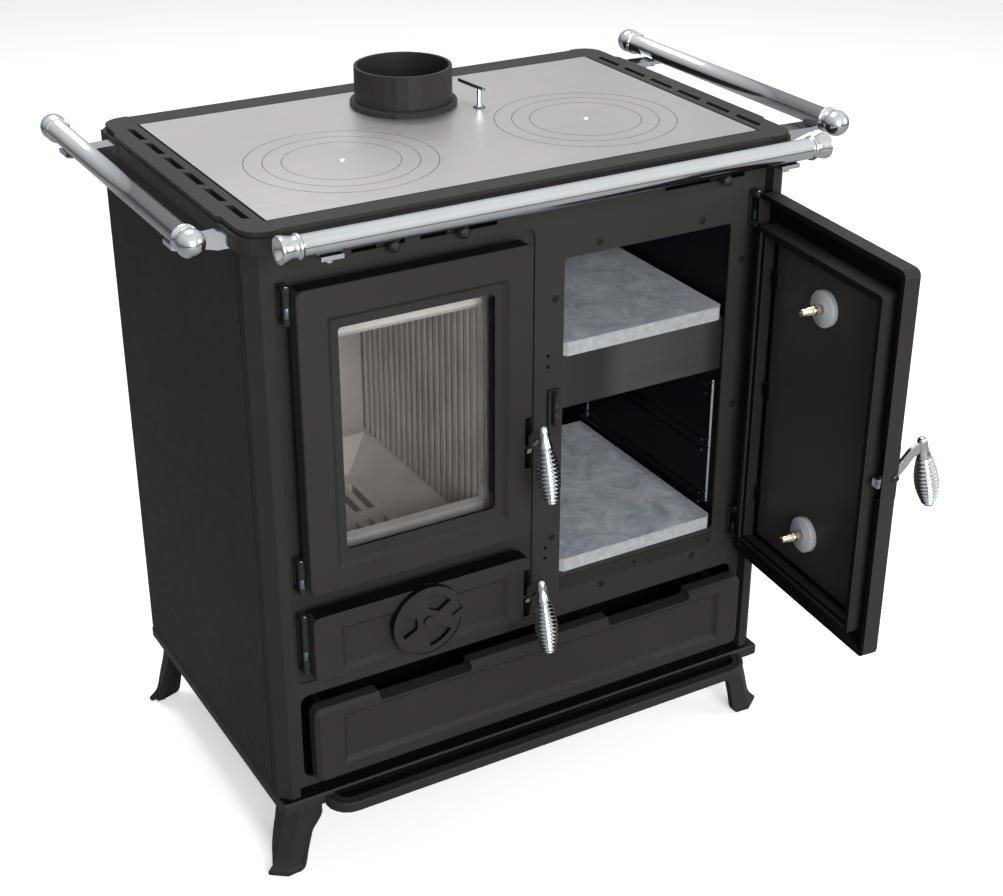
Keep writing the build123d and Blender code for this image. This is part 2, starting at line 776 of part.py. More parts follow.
def hob_rings(side):
    """Two cooking rings and a lid with a lifting dimple, nested in the plate."""
    outer, middle, inner = HOB_RING_RADII
    lid = hob_disc(inner)
    lid -= turned([(CLEARANCE, TOP_HEIGHT - HOB_DIMPLE_DEPTH), (HOB_DIMPLE_RADIUS, TOP_HEIGHT)], GRIP_SIDES)
    wide_ring = hob_disc(outer) - hob_disc(middle + CLEARANCE)
    narrow_ring = hob_disc(middle) - hob_disc(inner + CLEARANCE)
    return group(Pos(side * HOB_X, HOB_Y, 0) * ring for ring in (wide_ring, narrow_ring, lid))


def cooktop_plate():
    """The cooking plate with two tapered ring holes, the flue hole and the damper rod hole."""
    x_range = (-PLATE_HALF_WIDTH, PLATE_HALF_WIDTH)
    shape = block(x_range, (PLATE_FRONT_Y, PLATE_REAR_Y), (PLATE_UNDER, TOP_HEIGHT))
    for side in (-1, 1):
        shape -= Pos(side * HOB_X, HOB_Y, 0) * hob_disc(HOB_RING_RADII[0] + CLEARANCE)
    flue = (0, COLLAR_Y)
    shape -= pin((*flue, PLATE_UNDER), (*flue, TOP_HEIGHT), COLLAR_RADIUS - COLLAR_WALL)
    stem = (DAMPER_X, DAMPER_Y)
    return shape - bore((*stem, PLATE_UNDER), (*stem, TOP_HEIGHT), DAMPER_STEM_RADIUS + CLEARANCE)


def casting_outline(inset, end_step):
    """The outer half of a side casting in plan, its ends stepped in beside the middle."""
    middle = CASTING_HALF_WIDTH - inset
    outer = middle - end_step
    front = CASTING_FRONT_Y + inset
    rear = CASTING_REAR_Y - inset
    radius = CASTING_CORNER_RADIUS - inset
    points = [(CASTING_SEAM_X, front), *corner_points(outer - radius, front + radius, radius, 270)]
    if end_step:
        points += [(outer, -CASTING_STEP_Y - CASTING_STEP_SLOPE), (middle, -CASTING_STEP_Y)]
        points += [(middle, CASTING_STEP_Y), (outer, CASTING_STEP_Y + CASTING_STEP_SLOPE)]
    points += [*corner_points(outer - radius, rear - radius, radius, 0), (CASTING_SEAM_X, rear)]
    return make_face(Polyline(*points, close=True))


def vent_cutter(index):
    """The cutter of one vent slot with slanted ends in a side casting."""
    y = VENT_FIRST_Y + index * VENT_PITCH
    half = VENT_WIDTH / 2
    end = VENT_LENGTH / 2
    outline = Polyline(
        (VENT_X - half, y - end),
        (VENT_X + half, y - end + VENT_SLANT),
        (VENT_X + half, y + end),
        (VENT_X - half, y + end - VENT_SLANT),
        close=True,
    )
    return extrude(Pos(0, 0, HOB_FRAME_TOP) * make_face(outline), amount=TOP_HEIGHT - HOB_FRAME_TOP)


def side_casting(side):
    """A side casting of the top: a slotted layer, a neck and a band round the body."""
    layer_low = TOP_HEIGHT - CASTING_LAYER
    layer = extrude(Pos(0, 0, layer_low) * casting_outline(0, CASTING_STEP_IN), amount=CASTING_LAYER)
    neck_outline = casting_outline(CASTING_NECK_INSET, CASTING_STEP_IN)
    shape = layer + extrude(Pos(0, 0, BAND_TOP) * neck_outline, amount=CASTING_NECK)
    shape += extrude(Pos(0, 0, BAND_LOW) * casting_outline(0, 0), amount=CASTING_BAND)
    inside_x = BODY_HALF_WIDTH + SEAT_GAP
    shape -= flat_slab(
        (-inside_x, inside_x),
        (POST_Y - SEAT_GAP, REAR_Y + POST_CHAMFER + SEAT_GAP),
        BAND_LOW,
        HOB_FRAME_TOP,
        POST_CHAMFER,
    )
    for index in range(VENT_COUNT):
        shape -= vent_cutter(index)
    return shape if side > 0 else mirrored(shape)


def front_rail_casting():
    """The front bar of the top, with a lip that hangs in front, between the side castings."""
    half = CASTING_SEAM_X - CLEARANCE / 2
    y_range = (CASTING_FRONT_Y, PLATE_FRONT_Y - CLEARANCE)
    shape = block((-half, half), y_range, (HOB_FRAME_TOP, TOP_HEIGHT))
    lip_y = (CASTING_FRONT_Y, CASTING_FRONT_Y + RAIL_CASTING_LIP)
    shape += block((-half, half), lip_y, (TOP_HEIGHT - RAIL_CASTING_LIP_HEIGHT, TOP_HEIGHT))
    edge = shape.edges().filter_by(Axis.X).group_by(Axis.Z)[-1].sort_by(Axis.Y)[0]
    return chamfer(edge, RAIL_CASTING_BEVEL)


def rear_rail_casting():
    """The rear bar of the top, between the two side castings."""
    half = CASTING_SEAM_X - CLEARANCE / 2
    y_range = (PLATE_REAR_Y + CLEARANCE, CASTING_REAR_Y)
    shape = block((-half, half), y_range, (HOB_FRAME_TOP, TOP_HEIGHT))
    edge = shape.edges().filter_by(Axis.X).group_by(Axis.Z)[-1].sort_by(Axis.Y)[-1]
    return chamfer(edge, RAIL_CASTING_BEVEL)


def flue_collar():
    """The smoke outlet: a short tube with a beaded flange."""
    low = TOP_HEIGHT
    flange_top = low + COLLAR_FLANGE_HEIGHT
    top = low + COLLAR_HEIGHT
    points = [
        (COLLAR_FLANGE_RADIUS, low),
        (COLLAR_FLANGE_RADIUS, flange_top - COLLAR_BEAD),
        (COLLAR_FLANGE_RADIUS - COLLAR_BEAD, flange_top),
        (COLLAR_RADIUS, flange_top),
        (COLLAR_RADIUS, top),
    ]
    shape = turned(points, round_sides(COLLAR_RADIUS))
    shape -= pin((0, 0, low), (0, 0, top), COLLAR_RADIUS - COLLAR_WALL)
    return Pos(0, COLLAR_Y, 0) * shape


def damper():
    """The smoke damper: a bar handle, its rod with a washer, and the flap under the plate."""
    bar_z = TOP_HEIGHT + DAMPER_STEM_HEIGHT
    low = PLATE_UNDER - DAMPER_ROD_DROP
    shape = rod((DAMPER_X, DAMPER_Y, low), (DAMPER_X, DAMPER_Y, bar_z), DAMPER_STEM_RADIUS)
    shape += pin((DAMPER_X, DAMPER_Y, PLATE_UNDER), (DAMPER_X, DAMPER_Y, TOP_HEIGHT), DAMPER_STEM_RADIUS)
    washer_low = TOP_HEIGHT + SEAT_GAP
    washer_high = washer_low + DAMPER_COLLAR_HEIGHT
    shape += rod((DAMPER_X, DAMPER_Y, washer_low), (DAMPER_X, DAMPER_Y, washer_high), DAMPER_COLLAR_RADIUS)
    handle = rod((0, -DAMPER_BAR_FRONT, 0), (0, DAMPER_BAR_BACK, 0), DAMPER_BAR_RADIUS)
    bore_end = DAMPER_BAR_BORE_DEPTH - DAMPER_BAR_FRONT
    handle -= rod((0, -DAMPER_BAR_FRONT, 0), (0, bore_end, 0), DAMPER_BAR_BORE_RADIUS)
    shape += Pos(DAMPER_X, DAMPER_Y, bar_z) * Rot(0, 0, DAMPER_BAR_TURN) * handle
    hub = DAMPER_STEM_RADIUS * 2
    flap_x = (DAMPER_X - DAMPER_FLAP_LENGTH, DAMPER_X + hub)
    flap_y = grown((DAMPER_Y, DAMPER_Y), DAMPER_FLAP_WIDTH / 2)
    return shape + flat_slab(flap_x, flap_y, low, low + DAMPER_FLAP_THICKNESS, hub)


# Towel rails


def rail(start, end):
    """A rail with a ringed neck and a ball on each end; start and end are the ball centres."""
    span = Vector(*end) - Vector(*start)
    ball_angle = math.asin(CAP_NECK_RADIUS / CAP_BALL_RADIUS)
    points = []
    for step in range(CAP_BALL_STEPS + 1):
        angle = CAP_TIP_ANGLE + (math.pi - ball_angle - CAP_TIP_ANGLE) * step / CAP_BALL_STEPS
        points.append((CAP_BALL_RADIUS * math.sin(angle), -CAP_BALL_RADIUS * math.cos(angle)))
    ring_low = CAP_BALL_RADIUS * math.cos(ball_angle) + CAP_NECK_LENGTH
    ring_high = ring_low + CAP_RING_WIDTH
    points += [(CAP_NECK_RADIUS, ring_low), (CAP_RING_RADIUS, ring_low), (CAP_RING_RADIUS, ring_high)]
    points += [(RAIL_RADIUS, ring_high)]
    points += [(radius, span.length - height) for radius, height in reversed(points)]
    return Plane(origin=start, z_dir=span) * turned(points, RAIL_SIDES)


def side_rail(side):
    """The towel rail along one side."""
    x = side * SIDE_RAIL_X
    return rail((x, SIDE_RAIL_FRONT_Y, RAIL_HEIGHT), (x, SIDE_RAIL_REAR_Y, RAIL_HEIGHT))


def front_rail():
    """The towel rail along the front."""
    return rail((-FRONT_RAIL_HALF, FRONT_RAIL_Y, RAIL_HEIGHT), (FRONT_RAIL_HALF, FRONT_RAIL_Y, RAIL_HEIGHT))


def bracket_outline(reach, top_z):
    """A rail bracket in reach and height: a foot against the casting and an arm under the rail."""
    saddle = RAIL_HEIGHT - RAIL_RADIUS - SEAT_GAP
    low_z = top_z - BRACKET_FOOT_HEIGHT
    outline = Polyline(
        (0, low_z),
        (BRACKET_FOOT_LENGTH, low_z),
        (reach - BRACKET_SADDLE_HALF, saddle - BRACKET_THICKNESS),
        (reach + BRACKET_SADDLE_HALF, saddle - BRACKET_THICKNESS),
        (reach + BRACKET_SADDLE_HALF, saddle),
        (reach - BRACKET_SADDLE_HALF, saddle),
        (BRACKET_FOOT_LENGTH / 2, top_z),
        (0, top_z),
        close=True,
    )
    return make_face(outline)


def side_brackets(side):
    """The two brackets of a side rail, fixed to the casting's band."""
    start_x = CASTING_HALF_WIDTH + SEAT_GAP
    outline = bracket_outline(SIDE_RAIL_X - start_x, BAND_TOP - CASTING_NECK)
    solids = []
    for y in SIDE_BRACKET_YS:
        shape = extrude(front_plane(start_x, y + BRACKET_WIDTH / 2, 0) * outline, amount=BRACKET_WIDTH)
        solids.append(shape if side > 0 else mirrored(shape))
    return group(solids)


def front_brackets():
    """The two brackets of the front rail, fixed to the lip of the front bar."""
    start_y = CASTING_FRONT_Y - SEAT_GAP
    outline = bracket_outline(start_y - FRONT_RAIL_Y, BAND_TOP)
    solids = []
    for x in FRONT_BRACKET_XS:
        plane = Plane(origin=(x + BRACKET_WIDTH / 2, start_y, 0), x_dir=(0, -1, 0), z_dir=(-1, 0, 0))
        solids.append(extrude(plane * outline, amount=BRACKET_WIDTH))
    return group(solids)


def rail_bolts():
    """The bolt heads under the rails, one on each bracket."""
    top = RAIL_HEIGHT - RAIL_RADIUS - SEAT_GAP - BRACKET_THICKNESS
    places = [(x, FRONT_RAIL_Y) for x in FRONT_BRACKET_XS]
    places += [(side * SIDE_RAIL_X, y) for side in (-1, 1) for y in SIDE_BRACKET_YS]
    return group(rod((x, y, top - RAIL_BOLT_LENGTH), (x, y, top), RAIL_BOLT_RADIUS) for x, y in places)


# Doors


def hinge_edge(door):
    """The X of the edge of a door beside its hinge."""
    return door.x[1] if door.side > 0 else door.x[0]


def free_edge(door):
    """The X of the edge of a door away from its hinge."""
    return door.x[0] if door.side > 0 else door.x[1]


def hinge_axis(door):
    """The hinge line of a door, as its X and Y."""
    return hinge_edge(door) + door.side * HINGE_AXIS_OUT, DOOR_FACE_Y + HINGE_AXIS_IN


def lever_x(door):
    """The middle of the lever's thickness, beside the free edge of a door."""
    return free_edge(door) + door.side * LEVER_EDGE_INSET


def door_casting(door):
    """The cast front of a door: rounded outline, stepped field, window, hollow back and notches."""
    shape = front_slab(door.x, door.z, DOOR_FACE_Y, DOOR_BACK_Y, DOOR_CORNER_RADIUS)
    shape = chamfer(shape.edges().group_by(Axis.Y)[0], DOOR_BEVEL)
    pocket_x = grown(door.x, -DOOR_WALL)
    pocket_z = grown(door.z, -DOOR_WALL)
    shape -= front_slab(pocket_x, pocket_z, POCKET_Y, DOOR_BACK_Y, DOOR_CORNER_RADIUS - DOOR_WALL)
    shape -= field_cutter(door.field_x, door.field_z, DOOR_FACE_Y, DOOR_RECESS_DEPTH)
    if door.window_x:
        shape -= front_slab(door.window_x, door.window_z, DOOR_FACE_Y, POCKET_Y, OPENING_RADIUS)
    slot_x = ordered(free_edge(door), free_edge(door) + door.side * LEVER_SLOT_WIDTH)
    slot_z = (door.lever_z - LEVER_SLOT_DOWN, door.lever_z + LEVER_SLOT_UP)
    shape -= block(slot_x, (DOOR_FACE_Y, DOOR_BACK_Y), slot_z)
    x, y = hinge_axis(door)
    for z, height in door.hinges:
        half = height / 2 + 2 * CLEARANCE
        shape -= bore((x, y, z - half), (x, y, z + half), HINGE_NOTCH_RADIUS)
    return shape


def door_skirt(door):
    """The black inner frame on the back of a door, with a flange that carries the seal."""
    outer_x = grown(door.opening_x, SKIRT_LAP)
    outer_z = grown(door.opening_z, SKIRT_LAP)
    y_back = door.seat_y - CLEARANCE - GASKET_THICKNESS
    flange_y = y_back - SKIRT_FLANGE_THICKNESS
    shape = front_slab(outer_x, outer_z, POCKET_Y + SEAT_GAP, y_back, OPENING_RADIUS)
    inside_x = grown(outer_x, -SKIRT_WALL)
    inside_z = grown(outer_z, -SKIRT_WALL)
    shape -= block(inside_x, (POCKET_Y, flange_y), inside_z)
    hole_x = grown(outer_x, -SKIRT_FLANGE)
    hole_z = grown(outer_z, -SKIRT_FLANGE)
    return shape - block(hole_x, (flange_y, y_back), hole_z)


def door_gasket(door):
    """The rope seal between a door's inner frame and the front of the stove."""
    outer_x = grown(door.opening_x, SKIRT_LAP)
    outer_z = grown(door.opening_z, SKIRT_LAP)
    y_back = door.seat_y - CLEARANCE
    y_front = y_back - GASKET_THICKNESS + SEAT_GAP
    shape = front_slab(outer_x, outer_z, y_front, y_back, OPENING_RADIUS)
    return shape - block(grown(outer_x, -GASKET_WIDTH), (y_front, y_back), grown(outer_z, -GASKET_WIDTH))


def door_glass(door):
    """The pane behind the window of a door."""
    y_front = POCKET_Y + SEAT_GAP
    x_range = grown(door.window_x, GLASS_LAP)
    return block(x_range, (y_front, y_front + GLASS_THICKNESS), grown(door.window_z, GLASS_LAP))


def glass_clips(door):
    """The small clips that hold the pane from behind, along both long edges."""
    y_front = POCKET_Y + 2 * SEAT_GAP + GLASS_THICKNESS
    y_range = (y_front, y_front + CLIP_THICKNESS)
    height = door.window_z[1] - door.window_z[0]
    solids = []
    for share in CLIP_SHARES:
        z = door.window_z[0] + share * height
        for edge in grown(door.window_x, GLASS_LAP):
            x_range = (edge - CLIP_WIDTH / 2, edge + CLIP_WIDTH / 2)
            solids.append(block(x_range, y_range, (z - CLIP_LENGTH / 2, z + CLIP_LENGTH / 2)))
    return group(solids)


def lever_plate(door):
    """The flat lever in the door's notch: hub, arm to the grip and tail to the hook."""
    x = lever_x(door)
    pivot_y = DOOR_FACE_Y + LEVER_PIVOT_IN
    end_y = DOOR_FACE_Y - LEVER_REACH
    end_z = door.lever_z + LEVER_RISE
    half = LEVER_ARM_HALF
    hook_y = DOOR_BACK_Y + HOOK_GAP
    hook_z = door.lever_z - LEVER_ARM_HALF
    outline = Polyline(
        (pivot_y - LEVER_HUB_RADIUS, door.lever_z),
        (end_y - half, end_z - half),
        (end_y - half, end_z + half),
        (end_y + half, end_z + half),
        (pivot_y + half, door.lever_z + LEVER_HUB_RADIUS),
        (hook_y, hook_z + half),
        (hook_y, hook_z - half),
        (pivot_y + half, door.lever_z - LEVER_HUB_RADIUS),
        (pivot_y - half, door.lever_z - LEVER_HUB_RADIUS),
        close=True,
    )
    return extrude(side_plane(x - LEVER_THICKNESS / 2) * make_face(outline), amount=LEVER_THICKNESS)


def lever_handle(door):
    """A lever on a cross pin, with a finned grip outside and a hook behind the door."""
    x = lever_x(door)
    pivot_y = DOOR_FACE_Y + LEVER_PIVOT_IN
    shape = lever_plate(door)
    hook_y = DOOR_BACK_Y + HOOK_GAP
    hook_z = door.lever_z - LEVER_ARM_HALF
    hook_start = x - door.side * LEVER_THICKNESS / 2
    hook_x = ordered(hook_start, hook_start + door.side * HOOK_LENGTH)
    hook_rise = (hook_z - HOOK_HEIGHT / 2, hook_z + HOOK_HEIGHT / 2)
    shape += block(hook_x, (hook_y - HOOK_THICKNESS, hook_y), hook_rise)
    hole_x = (x - LEVER_THICKNESS, x + LEVER_THICKNESS)
    start = (hole_x[0], pivot_y, door.lever_z)
    end = (hole_x[1], pivot_y, door.lever_z)
    shape -= bore(start, end, LEVER_PIN_RADIUS + HINGE_FIT)
    grip_place = Pos(x, DOOR_FACE_Y - LEVER_REACH, door.lever_z + LEVER_RISE)
    return shape + grip_place * Rot(-GRIP_TILT, 0, 0) * grip()


def grip_radius(share):
    """The outer radius of the grip at a share of its finned length."""
    end = GRIP_SHOULDER_RADIUS if share < 0.5 else GRIP_END_RADIUS
    return end + (GRIP_RADIUS - end) * math.sin(share * math.pi)


def grip():
    """The hanging grip: a neck, a swelling core with a row of sharp fins and a rounded end."""
    pitch = GRIP_LENGTH / GRIP_FINS
    low = -GRIP_NECK_LENGTH - GRIP_LENGTH
    points = [(GRIP_END_RADIUS / 2, low - GRIP_END_LENGTH), (GRIP_END_RADIUS, low)]
    for index in reversed(range(GRIP_FINS)):
        z_fin = -GRIP_NECK_LENGTH - (index + 1 / 2) * pitch
        radius = grip_radius((index + 1 / 2) / GRIP_FINS)
        points += [(radius, z_fin), (radius * GRIP_CORE_SHARE, z_fin + pitch / 2)]
    points += [(GRIP_NECK_RADIUS, LEVER_ARM_HALF)]
    return turned(points, GRIP_SIDES)


def lever_pin(door):
    """The cross pin of a lever, set in the side of the notch, with a head at the free edge."""
    edge = free_edge(door)
    y = DOOR_FACE_Y + LEVER_PIVOT_IN
    wall = edge + door.side * LEVER_SLOT_WIDTH
    head = edge + door.side * PIVOT_HEAD_THICKNESS
    shape = rod((edge, y, door.lever_z), (head, y, door.lever_z), PIVOT_HEAD_RADIUS)
    return shape + pin((head, y, door.lever_z), (wall, y, door.lever_z), LEVER_PIN_RADIUS)


def hinge_bracket(door, z, height):
    """A fixed hinge bracket: a foot, two ears and the pin between them."""
    x, y = hinge_axis(door)
    half = height / 2
    x_range = (x - HINGE_PLATE_WIDTH / 2, x + HINGE_PLATE_WIDTH / 2)
    shape = block(x_range, (door.seat_y - HINGE_PLATE_THICKNESS, door.seat_y), (z - half, z + half))
    for end in (-1, 1):
        ear_z = ordered(z + end * half, z + end * (half - HINGE_EAR))
        shape += block(x_range, (y, door.seat_y), ear_z)
        shape += rod((x, y, ear_z[0]), (x, y, ear_z[1]), HINGE_PLATE_WIDTH / 2)
    pin_half = half - HINGE_EAR / 2
    return shape + pin((x, y, z - pin_half), (x, y, z + pin_half), HINGE_PIN_RADIUS)


def hinge_brackets():
    """The fixed hinge brackets of the three doors."""
    return group(hinge_bracket(door, z, height) for door in DOORS for z, height in door.hinges)


def hinge_knuckles(door):
    """The knuckles of a door, each with a leaf behind the casting's edge."""
    x, y = hinge_axis(door)
    inner = hinge_edge(door) - door.side * DOOR_WALL
    leaf_y = (DOOR_BACK_Y + SEAT_GAP, DOOR_BACK_Y + SEAT_GAP + HINGE_PLATE_THICKNESS)
    solids = []
    for z, height in door.hinges:
        half = height / 2 - HINGE_EAR - HINGE_PLAY
        shape = rod((x, y, z - half), (x, y, z + half), HINGE_KNUCKLE_RADIUS)
        shape += block(ordered(x, inner), leaf_y, (z - half, z + half))
        shape -= bore((x, y, z - half), (x, y, z + half), HINGE_PIN_RADIUS + HINGE_FIT)
        solids.append(shape)
    return group(solids)


def dial_port(index, first):
    """One sector opening of the air dial, drawn about the dial's middle from the first one's angle."""
    turn = first + index * 360 / DIAL_PORT_COUNT - DIAL_PORT_ANGLE / 2
    step_angle = DIAL_PORT_ANGLE / DIAL_PORT_STEPS
    angles = [math.radians(turn + step_angle * step) for step in range(DIAL_PORT_STEPS + 1)]
    points = [(DIAL_PORT_OUTER * math.cos(angle), DIAL_PORT_OUTER * math.sin(angle)) for angle in angles]
    for angle in (angles[-1], angles[0]):
        points.append((DIAL_PORT_INNER * math.cos(angle), DIAL_PORT_INNER * math.sin(angle)))
    return make_face(Polyline(*points, close=True))


def ash_door_casting():
    """The ash door with its air ports and the hole of the dial's pin."""
    shape = door_casting(ASH_DOOR)
    plane = front_plane(DIAL_X, DOOR_BACK_Y, DIAL_Z)
    for index in range(DIAL_PORT_COUNT):
        shape -= extrude(plane * dial_port(index, 0), amount=DOOR_CASTING_DEPTH)
    start = (DIAL_X, DOOR_BACK_Y, DIAL_Z)
    return shape - bore(start, (DIAL_X, DOOR_FACE_Y, DIAL_Z), DIAL_PIN_RADIUS + HINGE_FIT)


def air_dial():
    """The round air control of the ash door: a rimmed disc with three ports, a hub and a tab."""
    back = DOOR_FACE_Y - SEAT_GAP
    front = back - DIAL_THICKNESS
    rim_front = front - DIAL_RIM_HEIGHT
    hub_front = front - DIAL_HUB_HEIGHT
    boss_back = DOOR_FACE_Y + DOOR_RECESS_DEPTH - SEAT_GAP
    shape = rod((DIAL_X, rim_front, DIAL_Z), (DIAL_X, back, DIAL_Z), DIAL_RADIUS)
    shape -= rod((DIAL_X, rim_front, DIAL_Z), (DIAL_X, front, DIAL_Z), DIAL_RADIUS - DIAL_RIM)
    shape += rod((DIAL_X, hub_front, DIAL_Z), (DIAL_X, boss_back, DIAL_Z), DIAL_HUB_RADIUS)
    shape += pin((DIAL_X, boss_back, DIAL_Z), (DIAL_X, POCKET_Y, DIAL_Z), DIAL_PIN_RADIUS)
    plane = front_plane(DIAL_X, back, DIAL_Z)
    for index in range(DIAL_PORT_COUNT):
        shape -= extrude(plane * dial_port(index, DIAL_TURN), amount=DIAL_THICKNESS)
    half = DIAL_TAB_WIDTH / 2
    tab = Polyline(
        (DIAL_RADIUS - DIAL_TAB_LENGTH, 0),
        (DIAL_RADIUS - DIAL_RIM / 2, half),
        (DIAL_RADIUS - DIAL_RIM / 2, -half),
        close=True,
    )
    return shape + extrude(plane * make_face(tab), amount=DIAL_THICKNESS + 2 * DIAL_RIM_HEIGHT)


def thermometer(z):
    """An oven thermometer: a dial in front of the pane, a washer behind it and a stepped probe."""
    x = THERMOMETER_X
    dial_back = POCKET_Y
    washer_front = dial_back + GLASS_THICKNESS + 2 * SEAT_GAP
    washer_back = washer_front + THERMOMETER_WASHER
    probe_end = washer_back + PROBE_LENGTH
    stem_radius = PROBE_RADIUS - CLEARANCE
    shape = rod((x, dial_back - THERMOMETER_DEPTH, z), (x, dial_back, z), THERMOMETER_RADIUS)
    shape += rod((x, dial_back, z), (x, washer_front, z), stem_radius)
    shape += rod((x, washer_front, z), (x, washer_back, z), THERMOMETER_RADIUS)
    shape += rod((x, washer_back, z), (x, probe_end, z), PROBE_RADIUS)
    return shape + rod((x, probe_end, z), (x, probe_end + PROBE_TIP_LENGTH, z), PROBE_TIP_RADIUS)


def oven_door_glass():
    """The oven pane with the two thermometer holes."""
    shape = door_glass(OVEN_DOOR)
    for z in THERMOMETER_ZS:
        shape -= bore((THERMOMETER_X, DOOR_FACE_Y, z), (THERMOMETER_X, DOOR_BACK_Y, z), PROBE_RADIUS)
    return shape


# Storage drawer


def drawer_front():
    """The cast drawer front with a recessed field, two finger scoops and a hollow back."""
    x_range = (-DRAWER_HALF_WIDTH, DRAWER_HALF_WIDTH)
    shape = front_slab(x_range, DRAWER_Z, DRAWER_FRONT_Y, DRAWER_BACK_Y, DRAWER_CORNER_RADIUS)
    shape = chamfer(shape.edges().group_by(Axis.Y)[0], DRAWER_BEVEL)
    scoop_low = DRAWER_Z[1] - DRAWER_SCOOP_DEPTH
    half = DRAWER_SCOOP_WIDTH / 2
    for x in (-DRAWER_SCOOP_X, DRAWER_SCOOP_X):
        scoop_z = (scoop_low, DRAWER_Z[1] + DRAWER_SCOOP_DEPTH)
        shape -= front_slab((x - half, x + half), scoop_z, DRAWER_FRONT_Y, DRAWER_BACK_Y, OPENING_RADIUS)
    pocket_z = (DRAWER_Z[0] + DOOR_WALL, scoop_low - DOOR_WALL)
    pocket_front = DRAWER_FRONT_Y + DRAWER_FACE_THICKNESS
    shape -= front_slab(grown(x_range, -DOOR_WALL), pocket_z, pocket_front, DRAWER_BACK_Y, OPENING_RADIUS)
    field_x = (-DRAWER_FIELD_HALF, DRAWER_FIELD_HALF)
    return shape - field_cutter(field_x, DRAWER_FIELD_Z, DRAWER_FRONT_Y, DRAWER_FIELD_DEPTH)


def drawer_tray():
    """The sheet tray behind the drawer front."""
    y_front = DRAWER_BACK_Y + SEAT_GAP
    y_range = (y_front, y_front + TRAY_DEPTH)
    x_range = (-TRAY_HALF_WIDTH, TRAY_HALF_WIDTH)
    outer = block(x_range, y_range, TRAY_Z)
    inside = block(grown(x_range, -TRAY_WALL), grown(y_range, -TRAY_WALL), (TRAY_Z[0] + TRAY_WALL, TRAY_Z[1]))
    return outer - inside


def drawer_runners():
    """The two folded rails that the tray slides on, with an upright edge outside the tray."""
    low = PLINTH_TOP + SHEET
    seat = TRAY_Z[0] - SEAT_GAP
    side = TRAY_HALF_WIDTH + CLEARANCE
    outline = Polyline(
        (side - RUNNER_WIDTH, low),
        (side + SHEET, low),
        (side + SHEET, seat + RUNNER_WIDTH),
        (side, seat + RUNNER_WIDTH),
        (side, seat),
        (side - RUNNER_WIDTH, seat),
        (side - RUNNER_WIDTH, seat - SHEET),
        (side, seat - SHEET),
        (side, low + SHEET),
        (side - RUNNER_WIDTH, low + SHEET),
        close=True,
    )
    plane = front_plane(0, DRAWER_BACK_Y + TRAY_DEPTH, 0)
    length = DRAWER_BACK_Y + TRAY_DEPTH - POST_SIDE_END_Y
    right = extrude(plane * make_face(outline), amount=length)
    return group((mirrored(right), right))


# Air sliders


def air_slider(index):
    """An air control: a ball knob on a shaft, with the plate it moves behind the panel."""
    x = SLIDER_KNOB_XS[index]
    z = SLIDER_SLOT_Z
    knob_y = PANEL_Y - SLIDER_KNOB_OUT
    plate_y = PANEL_BACK_Y + SEAT_GAP
    angles = [math.radians(90 * step / SLIDER_KNOB_STEPS) for step in SLIDER_KNOB_SECTIONS]
    points = [(SLIDER_KNOB_RADIUS * math.cos(a), SLIDER_KNOB_RADIUS * math.sin(a)) for a in angles]
    knob = turned(points, round_sides(SLIDER_KNOB_RADIUS))
    shape = rod((x, knob_y, z), (x, plate_y, z), SLIDER_SHAFT_RADIUS)
    shape += Pos(x, knob_y, z) * Rot(90, 0, 0) * knob
    plate_x = grown((x, x), SLIDER_PLATE_HALF)
    plate_z = grown((z, z), SLIDER_PLATE_HEIGHT / 2)
    return shape + block(plate_x, (plate_y, plate_y + SLIDER_PLATE_THICKNESS), plate_z)


def slider_guides():
    """The guides above and below the air slider plates, on the back of the panel."""
    joined = None
    for x, travel in zip(SLIDER_KNOB_XS, SLIDER_TRAVELS):
        x_range = grown((x + travel[0], x + travel[1]), SLIDER_PLATE_HALF)
        for side in (-1, 1):
            inner = SLIDER_SLOT_Z + side * (SLIDER_PLATE_HEIGHT / 2 + SEAT_GAP)
            z_range = ordered(inner, inner + side * GUIDE_HEIGHT)
            guide = block(x_range, (PANEL_BACK_Y, PANEL_BACK_Y + GUIDE_DEPTH), z_range)
            joined = guide if joined is None else joined + guide
    return group(joined.solids())


# Oven


def oven_liner():
    """The oven box, open at the front."""
    y_range = (PANEL_BACK_Y, PANEL_BACK_Y + OVEN_LINER_DEPTH)
    outer = block(grown(LINER_X, SHEET), (y_range[0], y_range[1] + SHEET), grown(LINER_Z, SHEET))
    return outer - block(LINER_X, y_range, LINER_Z)


def stone_slab(x_range, low):
    """A stone shelf with chamfered front corners and softened front edges."""
    y_front = PANEL_Y + SLAB_FRONT_IN
    shape = block(x_range, (y_front, y_front + SLAB_DEPTH), (low, low + SLAB_THICKNESS))
    shape = chamfer(shape.edges().filter_by(Axis.Z).group_by(Axis.Y)[0], SLAB_CHAMFER)
    return chamfer(shape.edges().filter_by(Plane.XY).group_by(Axis.Z)[-1].group_by(Axis.Y)[0], SLAB_EDGE)


def oven_band():
    """The stainless shelf under the upper stone, with its deep front face and rear foot."""
    top = SLAB_UPPER_TOP - SLAB_THICKNESS
    y_front = PANEL_Y + BAND_IN
    y_back = y_front + SLAB_DEPTH
    outline = Polyline(
        (y_front, top - BAND_HEIGHT),
        (y_front, top),
        (y_back, top),
        (y_back, top - BAND_HEIGHT / 2),
        (y_back - BAND_THICKNESS, top - BAND_HEIGHT / 2),
        (y_back - BAND_THICKNESS, top - BAND_THICKNESS),
        (y_front + BAND_THICKNESS, top - BAND_THICKNESS),
        (y_front + BAND_THICKNESS, top - BAND_HEIGHT),
        close=True,
    )
    x_range = grown(LINER_X, -SEAT_GAP)
    return extrude(side_plane(x_range[0]) * make_face(outline), amount=x_range[1] - x_range[0])


